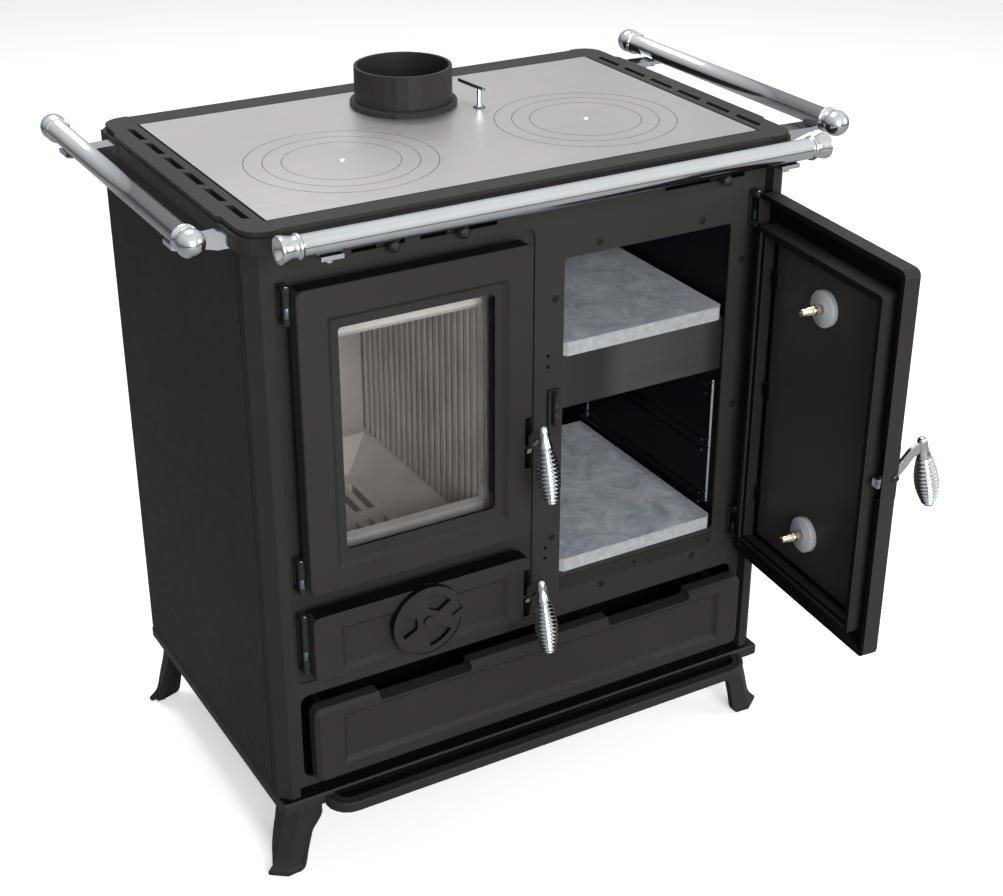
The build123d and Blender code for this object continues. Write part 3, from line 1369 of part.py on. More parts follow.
def rack_ladder(side):
    """A wire rack support beside an oven wall: two uprights, cross wires and six long wires."""
    wall = LINER_X[1] - SEAT_GAP
    inner = LADDER_X - LADDER_RUNG_IN
    front = LADDER_FRONT_Y if side > 0 else LADDER_FRONT_Y + LEFT_LADDER_BACK
    ends = (front, LADDER_REAR_Y)
    wire = RegularPolygon(LADDER_WIRE_RADIUS, LADDER_WIRE_SIDES)
    cross = RegularPolygon(LADDER_CROSS_RADIUS, LADDER_WIRE_SIDES)
    shape = None
    for y in ends:
        upright = bar((LADDER_X, y, LADDER_Z[0]), (LADDER_X, y, LADDER_Z[1]), wire)
        shape = upright if shape is None else shape + upright
    for z in LADDER_RUNG_ZS:
        fixed = z in (LADDER_RUNG_ZS[0], LADDER_RUNG_ZS[-1])
        for y in ends:
            outer = wall if fixed else LADDER_X
            shape += bar((inner - LADDER_CROSS_END, y, z), (outer, y, z), cross)
        long_ends = grown(ends, LADDER_CROSS_END)
        shape += bar((inner, long_ends[0], z), (inner, long_ends[1], z), wire)
    if side < 0:
        shape = mirror(shape, Plane(origin=(sum(LINER_X) / 2, 0, 0), z_dir=(1, 0, 0)))
    return shape


def oven_sill():
    """The strip under the oven opening, just below the seal of the oven door."""
    top = OVEN_OPENING_Z[0] - SKIRT_LAP - CLEARANCE
    y_range = (PANEL_Y - SILL_THICKNESS, PANEL_Y)
    return block(grown(OVEN_OPENING_X, -SILL_INSET), y_range, (top - SILL_HEIGHT, top))


def latch_keepers():
    """The keeper blocks beside the openings, one for each lever hook."""
    drop = UPPER_LEVER_Z - KEEPER_Z[0]
    height = KEEPER_Z[1] - KEEPER_Z[0]
    solids = []
    for door in DOORS:
        x_range = ordered(door.side * KEEPER_X[0], door.side * KEEPER_X[1])
        z_low = door.lever_z - drop
        z_range = (z_low, min(z_low + height, door.z[1] - DOOR_WALL))
        solids.append(block(x_range, (door.seat_y - KEEPER_THICKNESS, door.seat_y), z_range))
    return group(solids)


# Firebox


def ribbed_wall(length, height, pitch, depth):
    """An upright lining slab with vertical ribs on one face, drawn along X."""
    count = int(length // pitch)
    start = (length - count * pitch) / 2
    valley = LINING_THICKNESS - depth
    points = [(0, 0), (0, valley)]
    for index in range(count):
        x = start + index * pitch
        points += [(x + pitch / 10, valley), (x + pitch / 4, LINING_THICKNESS)]
        points += [(x + pitch * 3 / 4, LINING_THICKNESS), (x + pitch * 9 / 10, valley)]
    points += [(length, valley), (length, 0)]
    return extrude(make_face(Polyline(*points, close=True)), amount=height)


def side_lining(side):
    """A ribbed side lining of the firebox, its ribs towards the fire."""
    length = LINING_REAR_Y - LINING_FRONT_Y
    wall = ribbed_wall(length, LINING_Z[1] - LINING_Z[0], RIB_PITCH, RIB_DEPTH)
    if side < 0:
        outer = LINING_INNER_X[0] - LINING_THICKNESS
        return Pos(outer, LINING_REAR_Y, LINING_Z[0]) * Rot(0, 0, -90) * wall
    outer = LINING_INNER_X[1] + LINING_THICKNESS
    return Pos(outer, LINING_FRONT_Y, LINING_Z[0]) * Rot(0, 0, 90) * wall


def back_lining():
    """The rear lining of the firebox, with wide flat ribs."""
    x_range = grown(LINING_INNER_X, LINING_THICKNESS)
    wall = ribbed_wall(x_range[1] - x_range[0], LINING_Z[1] - LINING_Z[0], BACK_RIB_PITCH, BACK_RIB_DEPTH)
    y = LINING_REAR_Y + CLEARANCE + LINING_THICKNESS
    return Pos(x_range[1], y, LINING_Z[0]) * Rot(0, 0, 180) * wall


def baffle_beam():
    """The beam across the firebox behind the top of the window."""
    x_range = grown(LINING_INNER_X, -SEAT_GAP)
    shape = block(x_range, (LINING_FRONT_Y, LINING_FRONT_Y + BEAM_DEPTH), (BEAM_Z, BEAM_Z + BEAM_HEIGHT))
    edge = shape.edges().filter_by(Axis.X).group_by(Axis.Y)[0].sort_by(Axis.Z)[0]
    return chamfer(edge, BEAM_HEIGHT / 3)


def hearth_place():
    """The middle of the hearth in plan."""
    return sum(LINING_INNER_X) / 2, (LINING_FRONT_Y + LINING_REAR_Y) / 2


def hearth_trough():
    """The sloping hearth under the fire, with a raised front lip, that leads ash to the grate."""
    x_range = grown(LINING_INNER_X, -SEAT_GAP)
    y_range = (LINING_FRONT_Y, LINING_REAR_Y)
    low = LINING_Z[0]
    shape = block(x_range, y_range, (low, TROUGH_TOP))
    shape += block(x_range, (y_range[0], y_range[0] + TROUGH_LIP_DEPTH), (low, TROUGH_LIP_TOP))
    x, y = hearth_place()
    seat_z = low + GRATE_THICKNESS
    wide_x = x_range[1] - x_range[0] - 2 * TROUGH_RIM
    wide_y = y_range[1] - y_range[0] - 2 * TROUGH_LIP_DEPTH
    wide = Pos(x, y, TROUGH_TOP) * Rectangle(wide_x, wide_y)
    narrow = Pos(x, y, seat_z) * Rectangle(2 * GRATE_HALF[0], 2 * GRATE_HALF[1])
    shape -= loft([narrow, wide], ruled=True)
    hole = block(grown((x, x), GRATE_HALF[0]), grown((y, y), GRATE_HALF[1]), (low, seat_z))
    return shape - hole


def fire_grate():
    """The slotted grate in the bottom of the hearth, with two rows of slots."""
    x, y = hearth_place()
    z_range = (LINING_Z[0], LINING_Z[0] + GRATE_THICKNESS)
    x_range = grown((x, x), GRATE_HALF[0] - SEAT_GAP)
    y_range = grown((y, y), GRATE_HALF[1] - SEAT_GAP)
    shape = block(x_range, y_range, z_range)
    first = -(GRATE_SLOTS_PER_ROW - 1) / 2
    for row in (-1, 1):
        slot_y = y + row * GRATE_ROW_PITCH / 2
        for index in range(GRATE_SLOTS_PER_ROW):
            slot_x = x + (first + index) * GRATE_SLOT_PITCH
            half = (GRATE_SLOT_WIDTH / 2, GRATE_SLOT_LENGTH / 2)
            shape -= block(grown((slot_x, slot_x), half[0]), grown((slot_y, slot_y), half[1]), z_range)
    return shape


def firebox_shelf():
    """The sheet floor that carries the ash pan, from the left side to the oven box."""
    x_range = (-INNER_HALF_WIDTH, LINER_X[0] - SHEET - CLEARANCE)
    return block(x_range, (POST_SIDE_END_Y, REAR_Y - SHEET), (SHELF_TOP - SHEET, SHELF_TOP))


def hearth_supports():
    """The two folded sheets that carry the hearth and its linings over the ash pan."""
    low = SHELF_TOP
    high = LINING_Z[0]
    outer = LINING_INNER_X[1] + LINING_THICKNESS
    outline = Polyline(
        (outer, low),
        (outer, high),
        (outer - SUPPORT_FLANGE, high),
        (outer - SUPPORT_FLANGE, high - SUPPORT_THICKNESS),
        (outer - SUPPORT_THICKNESS, high - SUPPORT_THICKNESS),
        (outer - SUPPORT_THICKNESS, low),
        close=True,
    )
    y_back = LINING_REAR_Y + CLEARANCE + LINING_THICKNESS
    right = extrude(front_plane(0, y_back, 0) * make_face(outline), amount=y_back - POST_SIDE_END_Y)
    middle = Plane(origin=(hearth_place()[0], 0, 0), z_dir=(1, 0, 0))
    return group((mirror(right, middle), right))


def ash_pan():
    """The ash pan behind the ash door."""
    y_range = (LINING_FRONT_Y, LINING_FRONT_Y + ASH_PAN_DEPTH)
    outer = block(ASH_PAN_X, y_range, (SHELF_TOP, SHELF_TOP + ASH_PAN_HEIGHT))
    inside_z = (SHELF_TOP + ASH_PAN_WALL, SHELF_TOP + ASH_PAN_HEIGHT)
    return outer - block(grown(ASH_PAN_X, -ASH_PAN_WALL), grown(y_range, -ASH_PAN_WALL), inside_z)


# Assembly


def both_sides(maker):
    """A left and a right piece of the same kind, as one group."""
    return group((*maker(-1).solids(), *maker(1).solids()))


def feet():
    """The four feet."""
    return group(foot(side, end) for side in (-1, 1) for end in (-1, 1))


def rail_brackets():
    """The six brackets of the three rails, with their bolt heads."""
    return group((*both_sides(side_brackets).solids(), *front_brackets().solids(), *rail_bolts().solids()))


def body_nodes():
    """Every piece that stays with the body of the stove."""
    stones = (
        stone_slab(SLAB_UPPER_X, SLAB_UPPER_TOP - SLAB_THICKNESS),
        stone_slab(SLAB_LOWER_X, LINER_Z[0]),
    )
    return {
        "plinth": plinth(),
        "feet": feet(),
        "front_ledge": front_ledge(),
        "side_panels": both_sides(side_panel),
        "back_panel": back_panel(),
        "bottom_panel": bottom_panel(),
        "front_panel": front_panel(),
        "corner_posts": both_sides(corner_post),
        "firebox_frame": firebox_frame(),
        "hob_frame": hob_frame(),
        "hob_gasket": hob_gasket(),
        "cooktop_plate": cooktop_plate(),
        "hob_rings": both_sides(hob_rings),
        "side_casting_left": side_casting(-1),
        "side_casting_right": side_casting(1),
        "front_rail_casting": front_rail_casting(),
        "rear_rail_casting": rear_rail_casting(),
        "flue_collar": flue_collar(),
        "towel_rails_side": both_sides(side_rail),
        "towel_rail_front": front_rail(),
        "rail_brackets": rail_brackets(),
        "slider_guides": slider_guides(),
        "drawer_runners": drawer_runners(),
        "oven_liner": oven_liner(),
        "oven_stones": group(stones),
        "oven_band": oven_band(),
        "rack_ladders": both_sides(rack_ladder),
        "oven_sill": oven_sill(),
        "latch_keepers": latch_keepers(),
        "hinge_brackets": hinge_brackets(),
        "firebox_side_linings": both_sides(side_lining),
        "firebox_back_lining": back_lining(),
        "baffle_beam": baffle_beam(),
        "hearth_trough": hearth_trough(),
        "fire_grate": fire_grate(),
        "ash_pan": ash_pan(),
        "firebox_supports": group((firebox_shelf(), *hearth_supports().solids())),
    }


def door_fittings(door):
    """The small parts of a door: hinge knuckles, lever pin and, where it has a pane, clips."""
    solids = [*hinge_knuckles(door).solids(), *lever_pin(door).solids()]
    if door.window_x:
        solids += glass_clips(door).solids()
    return group(solids)


def moving_nodes():
    """The doors, levers, dial, drawer, air sliders and damper; the oven door stands open."""
    nodes = {
        "firebox_door": door_casting(FIREBOX_DOOR),
        "ash_door": ash_door_casting(),
        "oven_door": door_casting(OVEN_DOOR),
        "firebox_door_glass": door_glass(FIREBOX_DOOR),
        "oven_door_glass": oven_door_glass(),
        "oven_door_thermometers": group(thermometer(z) for z in THERMOMETER_ZS),
        "air_dial": air_dial(),
        "drawer_front": drawer_front(),
        "drawer_tray": drawer_tray(),
        "damper": damper(),
    }
    for name, door in (("firebox", FIREBOX_DOOR), ("ash", ASH_DOOR), ("oven", OVEN_DOOR)):
        nodes[f"{name}_door_inner_frame"] = group((door_skirt(door), door_gasket(door)))
        nodes[f"{name}_door_fittings"] = door_fittings(door)
        nodes[f"{name}_door_lever"] = lever_handle(door)
    for index, name in enumerate(("left", "middle", "right")):
        nodes[f"air_slider_{name}"] = air_slider(index)
    x, y = hinge_axis(OVEN_DOOR)
    axis = Axis((x, y, 0), (0, 0, 1))
    for name in nodes:
        if name.startswith("oven_door"):
            nodes[name] = nodes[name].rotate(axis, OVEN_DOOR_OPEN)
    return nodes


def floor_shift(nodes):
    """The move that centres the whole stove over the origin, with its feet on the floor."""
    boxes = [shape.bounding_box() for shape in nodes.values()]
    low_x, high_x = min(box.min.X for box in boxes), max(box.max.X for box in boxes)
    low_y, high_y = min(box.min.Y for box in boxes), max(box.max.Y for box in boxes)
    low_z = min(box.min.Z for box in boxes)
    return Pos(-(low_x + high_x) / 2, -(low_y + high_y) / 2, -low_z)


def main():
    """Build every piece, centre the stove and write one file for each piece."""
    nodes = {**body_nodes(), **moving_nodes()}
    shift = floor_shift(nodes)
    for name, shape in nodes.items():
        export_step(shift * shape, f"parts/{name}.step")


main()
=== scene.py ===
import json
import math

import bmesh
import bpy
from mathutils import Matrix, Vector


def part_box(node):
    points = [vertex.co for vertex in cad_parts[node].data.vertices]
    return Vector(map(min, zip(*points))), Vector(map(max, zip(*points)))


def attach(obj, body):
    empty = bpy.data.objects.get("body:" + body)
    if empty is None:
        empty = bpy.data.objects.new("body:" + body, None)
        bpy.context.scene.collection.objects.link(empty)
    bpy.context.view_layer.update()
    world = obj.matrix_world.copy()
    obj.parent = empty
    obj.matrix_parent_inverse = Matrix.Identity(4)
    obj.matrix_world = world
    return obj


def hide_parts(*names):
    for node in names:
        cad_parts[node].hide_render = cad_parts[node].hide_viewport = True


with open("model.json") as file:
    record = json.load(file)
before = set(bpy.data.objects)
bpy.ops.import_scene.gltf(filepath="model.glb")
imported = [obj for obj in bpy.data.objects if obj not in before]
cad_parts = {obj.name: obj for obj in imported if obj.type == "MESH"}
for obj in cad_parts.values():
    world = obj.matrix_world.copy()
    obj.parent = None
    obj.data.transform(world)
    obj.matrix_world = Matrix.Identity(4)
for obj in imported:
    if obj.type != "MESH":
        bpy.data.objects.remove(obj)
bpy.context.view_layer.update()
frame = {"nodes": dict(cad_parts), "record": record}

# The photograph's camera
IMAGE_WIDTH = 1003
IMAGE_HEIGHT = 896
CAMERA_PLACE = (-0.9929, -1.7177324, 1.5052)
CAMERA_TURN = math.radians(30.02)
CAMERA_DOWN = math.radians(27.21)
CAMERA_ROLL = math.radians(0.134)
FOCAL_PIXELS = 1762.55
CENTRE_PIXEL = (502.28, 443.25)
SENSOR = 36.0


def make_camera():
    """The camera at the photograph's place, turn and focal length."""
    data = bpy.data.cameras.new("photo_camera")
    data.sensor_width = SENSOR
    data.lens = FOCAL_PIXELS / IMAGE_WIDTH * SENSOR
    data.shift_x = (IMAGE_WIDTH / 2 - CENTRE_PIXEL[0]) / IMAGE_WIDTH
    data.shift_y = (CENTRE_PIXEL[1] - IMAGE_HEIGHT / 2) / IMAGE_WIDTH
    data.clip_start = 0.05
    data.clip_end = 100
    camera = bpy.data.objects.new("photo_camera", data)
    bpy.context.scene.collection.objects.link(camera)
    ahead = Vector((
        math.sin(CAMERA_TURN) * math.cos(CAMERA_DOWN),
        math.cos(CAMERA_TURN) * math.cos(CAMERA_DOWN),
        -math.sin(CAMERA_DOWN),
    ))
    level = Vector((math.cos(CAMERA_TURN), -math.sin(CAMERA_TURN), 0))
    rise = level.cross(ahead)
    right = level * math.cos(CAMERA_ROLL) + rise * math.sin(CAMERA_ROLL)
    up = rise * math.cos(CAMERA_ROLL) - level * math.sin(CAMERA_ROLL)
    turn = Matrix((right, up, -ahead)).transposed()
    camera.matrix_world = Matrix.Translation(CAMERA_PLACE) @ turn.to_4x4()
    bpy.context.scene.camera = camera


# Lights: name, place, target, size and power
LIGHTS = (
    ("key", (-0.6, -4.2, 1.9), (0, 0, 0.6), 2.4, 200),
    ("fill", (3.4, -2.2, 1.6), (0, 0, 0.5), 2.0, 40),
    ("top", (0, 1.4, 4.2), (0, 0.1, 0.8), 2.0, 130),
)

# The world's strength along one axis: the axis, its two ends, and the strength at each
GLOSS_ABOVE = ("Z", 0.0, 0.8, 0.3, 0.95)
GLOSS_FRONT = ("Y", -0.3, -0.95, 0.0, 0.45)
MATT_LEVEL = ("Z", -0.1, 0.5, 0.72, 0.16)
MATT_FRONT = ("Y", 0.1, -0.8, 0.25, 1.0)
RIGHT_SIDE = ("X", 0.2, 0.9, 0.0, 0.2)

FLOOR_HALF = 14.0
FLOOR_HEIGHT = -0.0005
FLOOR_GLOW = 0.48


def area_light(name, place, target, size, power):
    """A square soft light that faces a target."""
    data = bpy.data.lights.new(name, "AREA")
    data.shape = "SQUARE"
    data.size = size
    data.energy = power
    light = bpy.data.objects.new(name, data)
    bpy.context.scene.collection.objects.link(light)
    light.location = place
    facing = Vector(target) - Vector(place)
    light.rotation_mode = "QUATERNION"
    light.rotation_quaternion = facing.to_track_quat("-Z", "Y")


def between(tree, value, low, high, least, most):
    """A value mapped from one range to another and held inside it."""
    node = tree.nodes.new("ShaderNodeMapRange")
    node.inputs["From Min"].default_value = low
    node.inputs["From Max"].default_value = high
    node.inputs["To Min"].default_value = least
    node.inputs["To Max"].default_value = most
    tree.links.new(value, node.inputs["Value"])
    return node.outputs["Result"]


def combine(tree, kind, first, second):
    """Two values joined by one sum, product or other operation."""
    node = tree.nodes.new("ShaderNodeMath")
    node.operation = kind
    tree.links.new(first, node.inputs[0])
    tree.links.new(second, node.inputs[1])
    return node.outputs[0]


def mixed(tree, share, first, second, kind="FLOAT"):
    """Two values or colours mixed by a share."""
    node = tree.nodes.new("ShaderNodeMix")
    node.data_type = kind
    tree.links.new(share, node.inputs["Factor"])
    tree.links.new(first, node.inputs["A"])
    tree.links.new(second, node.inputs["B"])
    return node.outputs["Result"]


def axes_of(tree, node, output):
    """The three parts of a vector that a node gives."""
    split = tree.nodes.new("ShaderNodeSeparateXYZ")
    tree.links.new(node.outputs[output], split.inputs["Vector"])
    return split.outputs


def studio_strength(tree, diffuse):
    """The world's strength: from above and in front for gloss, from low and in front for the rest."""
    axes = axes_of(tree, tree.nodes.new("ShaderNodeTexCoord"), "Generated")
    parts = {}
    for side in (GLOSS_ABOVE, GLOSS_FRONT, MATT_LEVEL, MATT_FRONT, RIGHT_SIDE):
        parts[side] = between(tree, axes[side[0]], *side[1:])
    right = parts[RIGHT_SIDE]
    gloss = combine(tree, "ADD", parts[GLOSS_ABOVE], parts[GLOSS_FRONT])
    matt = combine(tree, "MULTIPLY", parts[MATT_LEVEL], parts[MATT_FRONT])
    gloss = combine(tree, "ADD", gloss, right)
    matt = combine(tree, "ADD", matt, right)
    return mixed(tree, diffuse, gloss, matt)


def make_world():
    """Soft studio light before a plain white backdrop."""
    world = bpy.data.worlds.new("studio")
    bpy.context.scene.world = world
    world.use_nodes = True
    tree = world.node_tree
    tree.nodes.clear()
    paths = tree.nodes.new("ShaderNodeLightPath").outputs
    light = tree.nodes.new("ShaderNodeBackground")
    white = tree.nodes.new("ShaderNodeBackground")
    for shader in (light, white):
        shader.inputs["Color"].default_value = (1, 1, 1, 1)
    strength = studio_strength(tree, paths["Is Diffuse Ray"])
    tree.links.new(strength, light.inputs["Strength"])
    seen = combine(tree, "MAXIMUM", paths["Is Camera Ray"], paths["Is Transmission Ray"])
    mix = tree.nodes.new("ShaderNodeMixShader")
    tree.links.new(seen, mix.inputs[0])
    tree.links.new(light.outputs[0], mix.inputs[1])
    tree.links.new(white.outputs[0], mix.inputs[2])
    world_out = tree.nodes.new("ShaderNodeOutputWorld")
    tree.links.new(mix.outputs[0], world_out.inputs[0])


def floor_white():
    """Pale floor that the camera sees as white, and that throws less light back on the stove."""
    mat, tree, shader = new_material("floor_white")
    shader.inputs["Roughness"].default_value = 0.9
    shader.inputs["Specular IOR Level"].default_value = 0.1
    cloud = noise(tree, 3.0, 2)
    seen = tones(tree, cloud, ((0.3, 0.95), (0.7, 0.97)))
    bounced = tones(tree, cloud, ((0.3, 0.38), (0.7, 0.4)))
    camera_ray = tree.nodes.new("ShaderNodeLightPath").outputs["Is Camera Ray"]
    tone = mixed(tree, camera_ray, bounced, seen, "RGBA")
    tree.links.new(tone, shader.inputs["Base Color"])
    shader.inputs["Emission Color"].default_value = (1, 1, 1, 1)
    glow = between(tree, camera_ray, 0.0, 1.0, 0.0, FLOOR_GLOW)
    tree.links.new(glow, shader.inputs["Emission Strength"])
    return mat


def make_floor():
    """A wide pale floor under the feet."""
    mesh = bpy.data.meshes.new("floor")
    half = FLOOR_HALF
    corners = [(-half, -half, 0), (half, -half, 0), (half, half, 0), (-half, half, 0)]
    mesh.from_pydata(corners, [], [(0, 1, 2, 3)])
    mesh.materials.append(floor_white())
    floor = bpy.data.objects.new("floor", mesh)
    bpy.context.scene.collection.objects.link(floor)
    floor.location = (0, 0, FLOOR_HEIGHT)


# Directions along the object's own axes, and half the height over which a shade fades
LEFTWARD = (-1, 0, 0)
FRONTWARD = (0, -1, 0)
BACKWARD = (0, 1, 0)
UPWARD = (0, 0, 1)
FADE_HALF = 0.0003


def new_material(name):
    """A material with its node tree and its main shader."""
    mat = bpy.data.materials.new(name)
    mat.use_nodes = True
    tree = mat.node_tree
    return mat, tree, tree.nodes["Principled BSDF"]


def own_coords(tree, scale=(1, 1, 1)):
    """The object's own coordinates in metres, stretched along its axes."""
    coords = tree.nodes.new("ShaderNodeTexCoord")
    mapping = tree.nodes.new("ShaderNodeMapping")
    mapping.inputs["Scale"].default_value = scale
    tree.links.new(coords.outputs["Object"], mapping.inputs["Vector"])
    return mapping.outputs["Vector"]


def noise(tree, scale, detail, vector=None, rough=0.55, distortion=0.0):
    """A noise value at a number of features per metre."""
    node = tree.nodes.new("ShaderNodeTexNoise")
    node.inputs["Scale"].default_value = scale
    node.inputs["Detail"].default_value = detail
    node.inputs["Roughness"].default_value = rough
    node.inputs["Distortion"].default_value = distortion
    tree.links.new(vector or own_coords(tree), node.inputs["Vector"])
    return node.outputs["Fac"]


def tones(tree, value, stops):
    """Colours or greys along a value."""
    node = tree.nodes.new("ShaderNodeValToRGB")
    band = node.color_ramp
    while len(band.elements) < len(stops):
        band.elements.new(0.5)
    for element, (at, colour) in zip(band.elements, stops):
        element.position = at
        if isinstance(colour, (int, float)):
            colour = (colour, colour, colour)
        element.color = (*colour, 1)
    tree.links.new(value, node.inputs["Fac"])
    return node.outputs["Color"]


def cloudy(tree, shader, socket, value, low, high):
    """A socket that drifts between two tones or amounts with a noise value."""
    tree.links.new(tones(tree, value, ((0.3, low), (0.7, high))), shader.inputs[socket])


def bump(tree, shader, height, depth, strength):
    """A fine relief, its depth in metres."""
    node = tree.nodes.new("ShaderNodeBump")
    node.inputs["Distance"].default_value = depth
    node.inputs["Strength"].default_value = strength
    tree.links.new(height, node.inputs["Height"])
    tree.links.new(node.outputs["Normal"], shader.inputs["Normal"])


def paint_shade_on_faces(mat, direction, start, full, least, below=None):
    """Paints shade on the faces that look along one of the object's own axes, or only on those under a
    height, by darkening their colour.
    """
    tree = mat.node_tree
    base = tree.nodes["Principled BSDF"].inputs["Base Color"]
    coords = tree.nodes.new("ShaderNodeTexCoord")
    dot = tree.nodes.new("ShaderNodeVectorMath")
    dot.operation = "DOT_PRODUCT"
    dot.inputs[1].default_value = direction
    tree.links.new(coords.outputs["Normal"], dot.inputs[0])
    # share of the colour that stays: low where the painted shade falls
    share = between(tree, dot.outputs["Value"], start, full, 1.0, least)
    if below is not None:
        height = axes_of(tree, coords, "Object")["Z"]
        high = between(tree, height, below - FADE_HALF, below + FADE_HALF, least, 1.0)
        share = combine(tree, "MAXIMUM", share, high)
    scale = tree.nodes.new("ShaderNodeVectorMath")
    scale.operation = "SCALE"
    tree.links.new(base.links[0].from_socket, scale.inputs[0])
    tree.links.new(share, scale.inputs["Scale"])
    tree.links.new(scale.outputs["Vector"], base)


# Where the oven's steel band starts and ends in X; its painted reflection runs over this span
BAND_ENDS = (0.018, 0.306)


def black_metal(name, dark, light, rough, grain, depth, level):
    """Black paint or casting: a faintly cloudy tone, uneven gloss and a fine grain."""
    mat, tree, shader = new_material(name)
    cloudy(tree, shader, "Base Color", noise(tree, 5.0, 3), dark, light)
    cloudy(tree, shader, "Roughness", noise(tree, 70.0, 3), rough - 0.03, rough + 0.03)
    shader.inputs["Specular IOR Level"].default_value = level
    bump(tree, shader, noise(tree, grain, 2), depth, 0.35)
    return mat


def casting_black(name):
    """The stove's black casting."""
    return black_metal(name, (0.02, 0.0193, 0.018), (0.025, 0.0243, 0.023), 0.5, 900.0, 0.0003, 0.16)


def black_sheet(name, level):
    """The stove's black sheet, at a share of its usual tone; a share above one makes a brighter copy as
    painted light.
    """
    dark = [tone * level for tone in (0.022, 0.0217, 0.021)]
    light = [tone * level for tone in (0.026, 0.0257, 0.025)]
    return black_metal(name, dark, light, 0.55, 1300.0, 0.00005, 0.07)


def oven_enamel():
    """Blue-black enamel inside the oven."""
    dark = (0.0035, 0.0042, 0.006)
    light = (0.005, 0.006, 0.008)
    return black_metal("oven_enamel", dark, light, 0.5, 600.0, 0.0001, 0.1)


def steel_plate():
    """The ground hob plate: a faintly cloudy tone and fine strokes along its width."""
    mat, tree, shader = new_material("ground_steel")
    shader.inputs["Metallic"].default_value = 1.0
    cloudy(tree, shader, "Base Color", noise(tree, 5.0, 3), (0.43, 0.426, 0.418), (0.475, 0.47, 0.462))
    lines = noise(tree, 3.0, 6, own_coords(tree, (4, 420, 4)), 0.6)
    cloudy(tree, shader, "Roughness", lines, 0.36, 0.44)
    bump(tree, shader, lines, 0.00003, 0.3)
    return mat


def chrome(name, rough, tone):
    """Plated metal with faint polishing haze."""
    mat, tree, shader = new_material(name)
    shader.inputs["Metallic"].default_value = 1.0
    cold = (tone - 0.03, tone, tone + 0.02)
    bright = (tone, tone + 0.03, tone + 0.05)
    cloudy(tree, shader, "Base Color", noise(tree, 30.0, 3), cold, bright)
    cloudy(tree, shader, "Roughness", noise(tree, 120.0, 3), rough, rough + 0.03)
    return mat


def satin_steel_painted_reflection():
    """The oven's stainless band: fine brush lines, and a painted reflection that makes it brighter from its
    middle to near its right end.
    """
    mat, tree, shader = new_material("satin_steel_painted_reflection")
    shader.inputs["Metallic"].default_value = 1.0
    axes = axes_of(tree, tree.nodes.new("ShaderNodeTexCoord"), "Object")
    along = between(tree, axes["X"], *BAND_ENDS, 0.0, 1.0)
    # painted reflection: darker ends and a bright stretch from the middle to near the right end
    tone = tones(tree, along, (
        (0.0, 0.12), (0.14, 0.07), (0.3, 0.075), (0.42, 0.17),
        (0.6, 0.2), (0.84, 0.2), (0.91, 0.1), (1.0, 0.05),
    ))
    tree.links.new(tone, shader.inputs["Base Color"])
    lines = noise(tree, 3.0, 4, own_coords(tree, (3, 3, 320)), 0.6)
    cloudy(tree, shader, "Roughness", lines, 0.42, 0.48)
    bump(tree, shader, lines, 0.00001, 0.2)
    return mat


def baking_stone():
    """Blue-grey slab with mottled veins, and a darker hewn front edge."""
    mat, tree, shader = new_material("baking_stone")
    veins = noise(tree, 22.0, 14, rough=0.82, distortion=0.7)
    face = tones(tree, veins, (
        (0.34, (0.24, 0.28, 0.335)),
        (0.45, (0.42, 0.465, 0.525)),
        (0.55, (0.56, 0.6, 0.655)),
        (0.68, (0.78, 0.81, 0.84)),
    ))
    hewn = noise(tree, 90.0, 6, rough=0.7)
    edge = tones(tree, hewn, ((0.3, (0.27, 0.285, 0.3)), (0.7, (0.44, 0.455, 0.47))))
    axes = axes_of(tree, tree.nodes.new("ShaderNodeNewGeometry"), "Normal")
    front = between(tree, axes["Y"], -0.35, -0.6, 0.0, 1.0)
    tree.links.new(mixed(tree, front, face, edge, "RGBA"), shader.inputs["Base Color"])
    shader.inputs["Roughness"].default_value = 0.62
    bump(tree, shader, noise(tree, 260.0, 5), 0.0005, 0.5)
    return mat


def fire_stone(name):
    """Pale firebrick with a sandy grain and a little staining."""
    mat, tree, shader = new_material(name)
    cloudy(tree, shader, "Base Color", noise(tree, 14.0, 5), (0.58, 0.54, 0.51), (0.74, 0.7, 0.67))
    shader.inputs["Roughness"].default_value = 0.85
    bump(tree, shader, noise(tree, 700.0, 3), 0.0005, 0.4)
    return mat


def glass(name, tone, clear, level, rough):
    """A smooth tinted pane that is see-through by its clear share."""
    mat, tree, shader = new_material(name)
    cloudy(tree, shader, "Roughness", noise(tree, 18.0, 3), rough, rough + 0.03)
    shader.inputs["Base Color"].default_value = (tone, tone, tone, 1)
    shader.inputs["Alpha"].default_value = 1 - clear
    shader.inputs["IOR"].default_value = 1.5
    shader.inputs["Specular IOR Level"].default_value = level
    return mat


def rope():
    """A woven black seal."""
    mat, tree, shader = new_material("rope_seal")
    weave = noise(tree, 500.0, 2)
    cloudy(tree, shader, "Base Color", weave, 0.008, 0.02)
    shader.inputs["Roughness"].default_value = 0.95
    bump(tree, shader, weave, 0.001, 0.8)
    return mat


def plain_finish(name, scale, low, high, rough):
    """A smooth even finish with a faintly cloudy tone."""
    mat, tree, shader = new_material(name)
    cloudy(tree, shader, "Base Color", noise(tree, scale, 3), low, high)
    shader.inputs["Roughness"].default_value = rough
    return mat


def brass():
    """Turned pale brass of the thermometer probes."""
    mat = plain_finish("turned_brass", 80.0, (0.66, 0.56, 0.4), (0.78, 0.69, 0.52), 0.26)
    mat.node_tree.nodes["Principled BSDF"].inputs["Metallic"].default_value = 1.0
    return mat


def shadow_black():
    """Near black for grooves, joint lines and small holes, and for painted shade behind the slots, on the
    slider guides and over the ledge.
    """
    mat, tree, shader = new_material("joint_black_and_painted_shade")
    cloudy(tree, shader, "Base Color", noise(tree, 40.0, 2), 0.002, 0.004)
    shader.inputs["Roughness"].default_value = 0.9
    shader.inputs["Specular IOR Level"].default_value = 0.05
    return mat


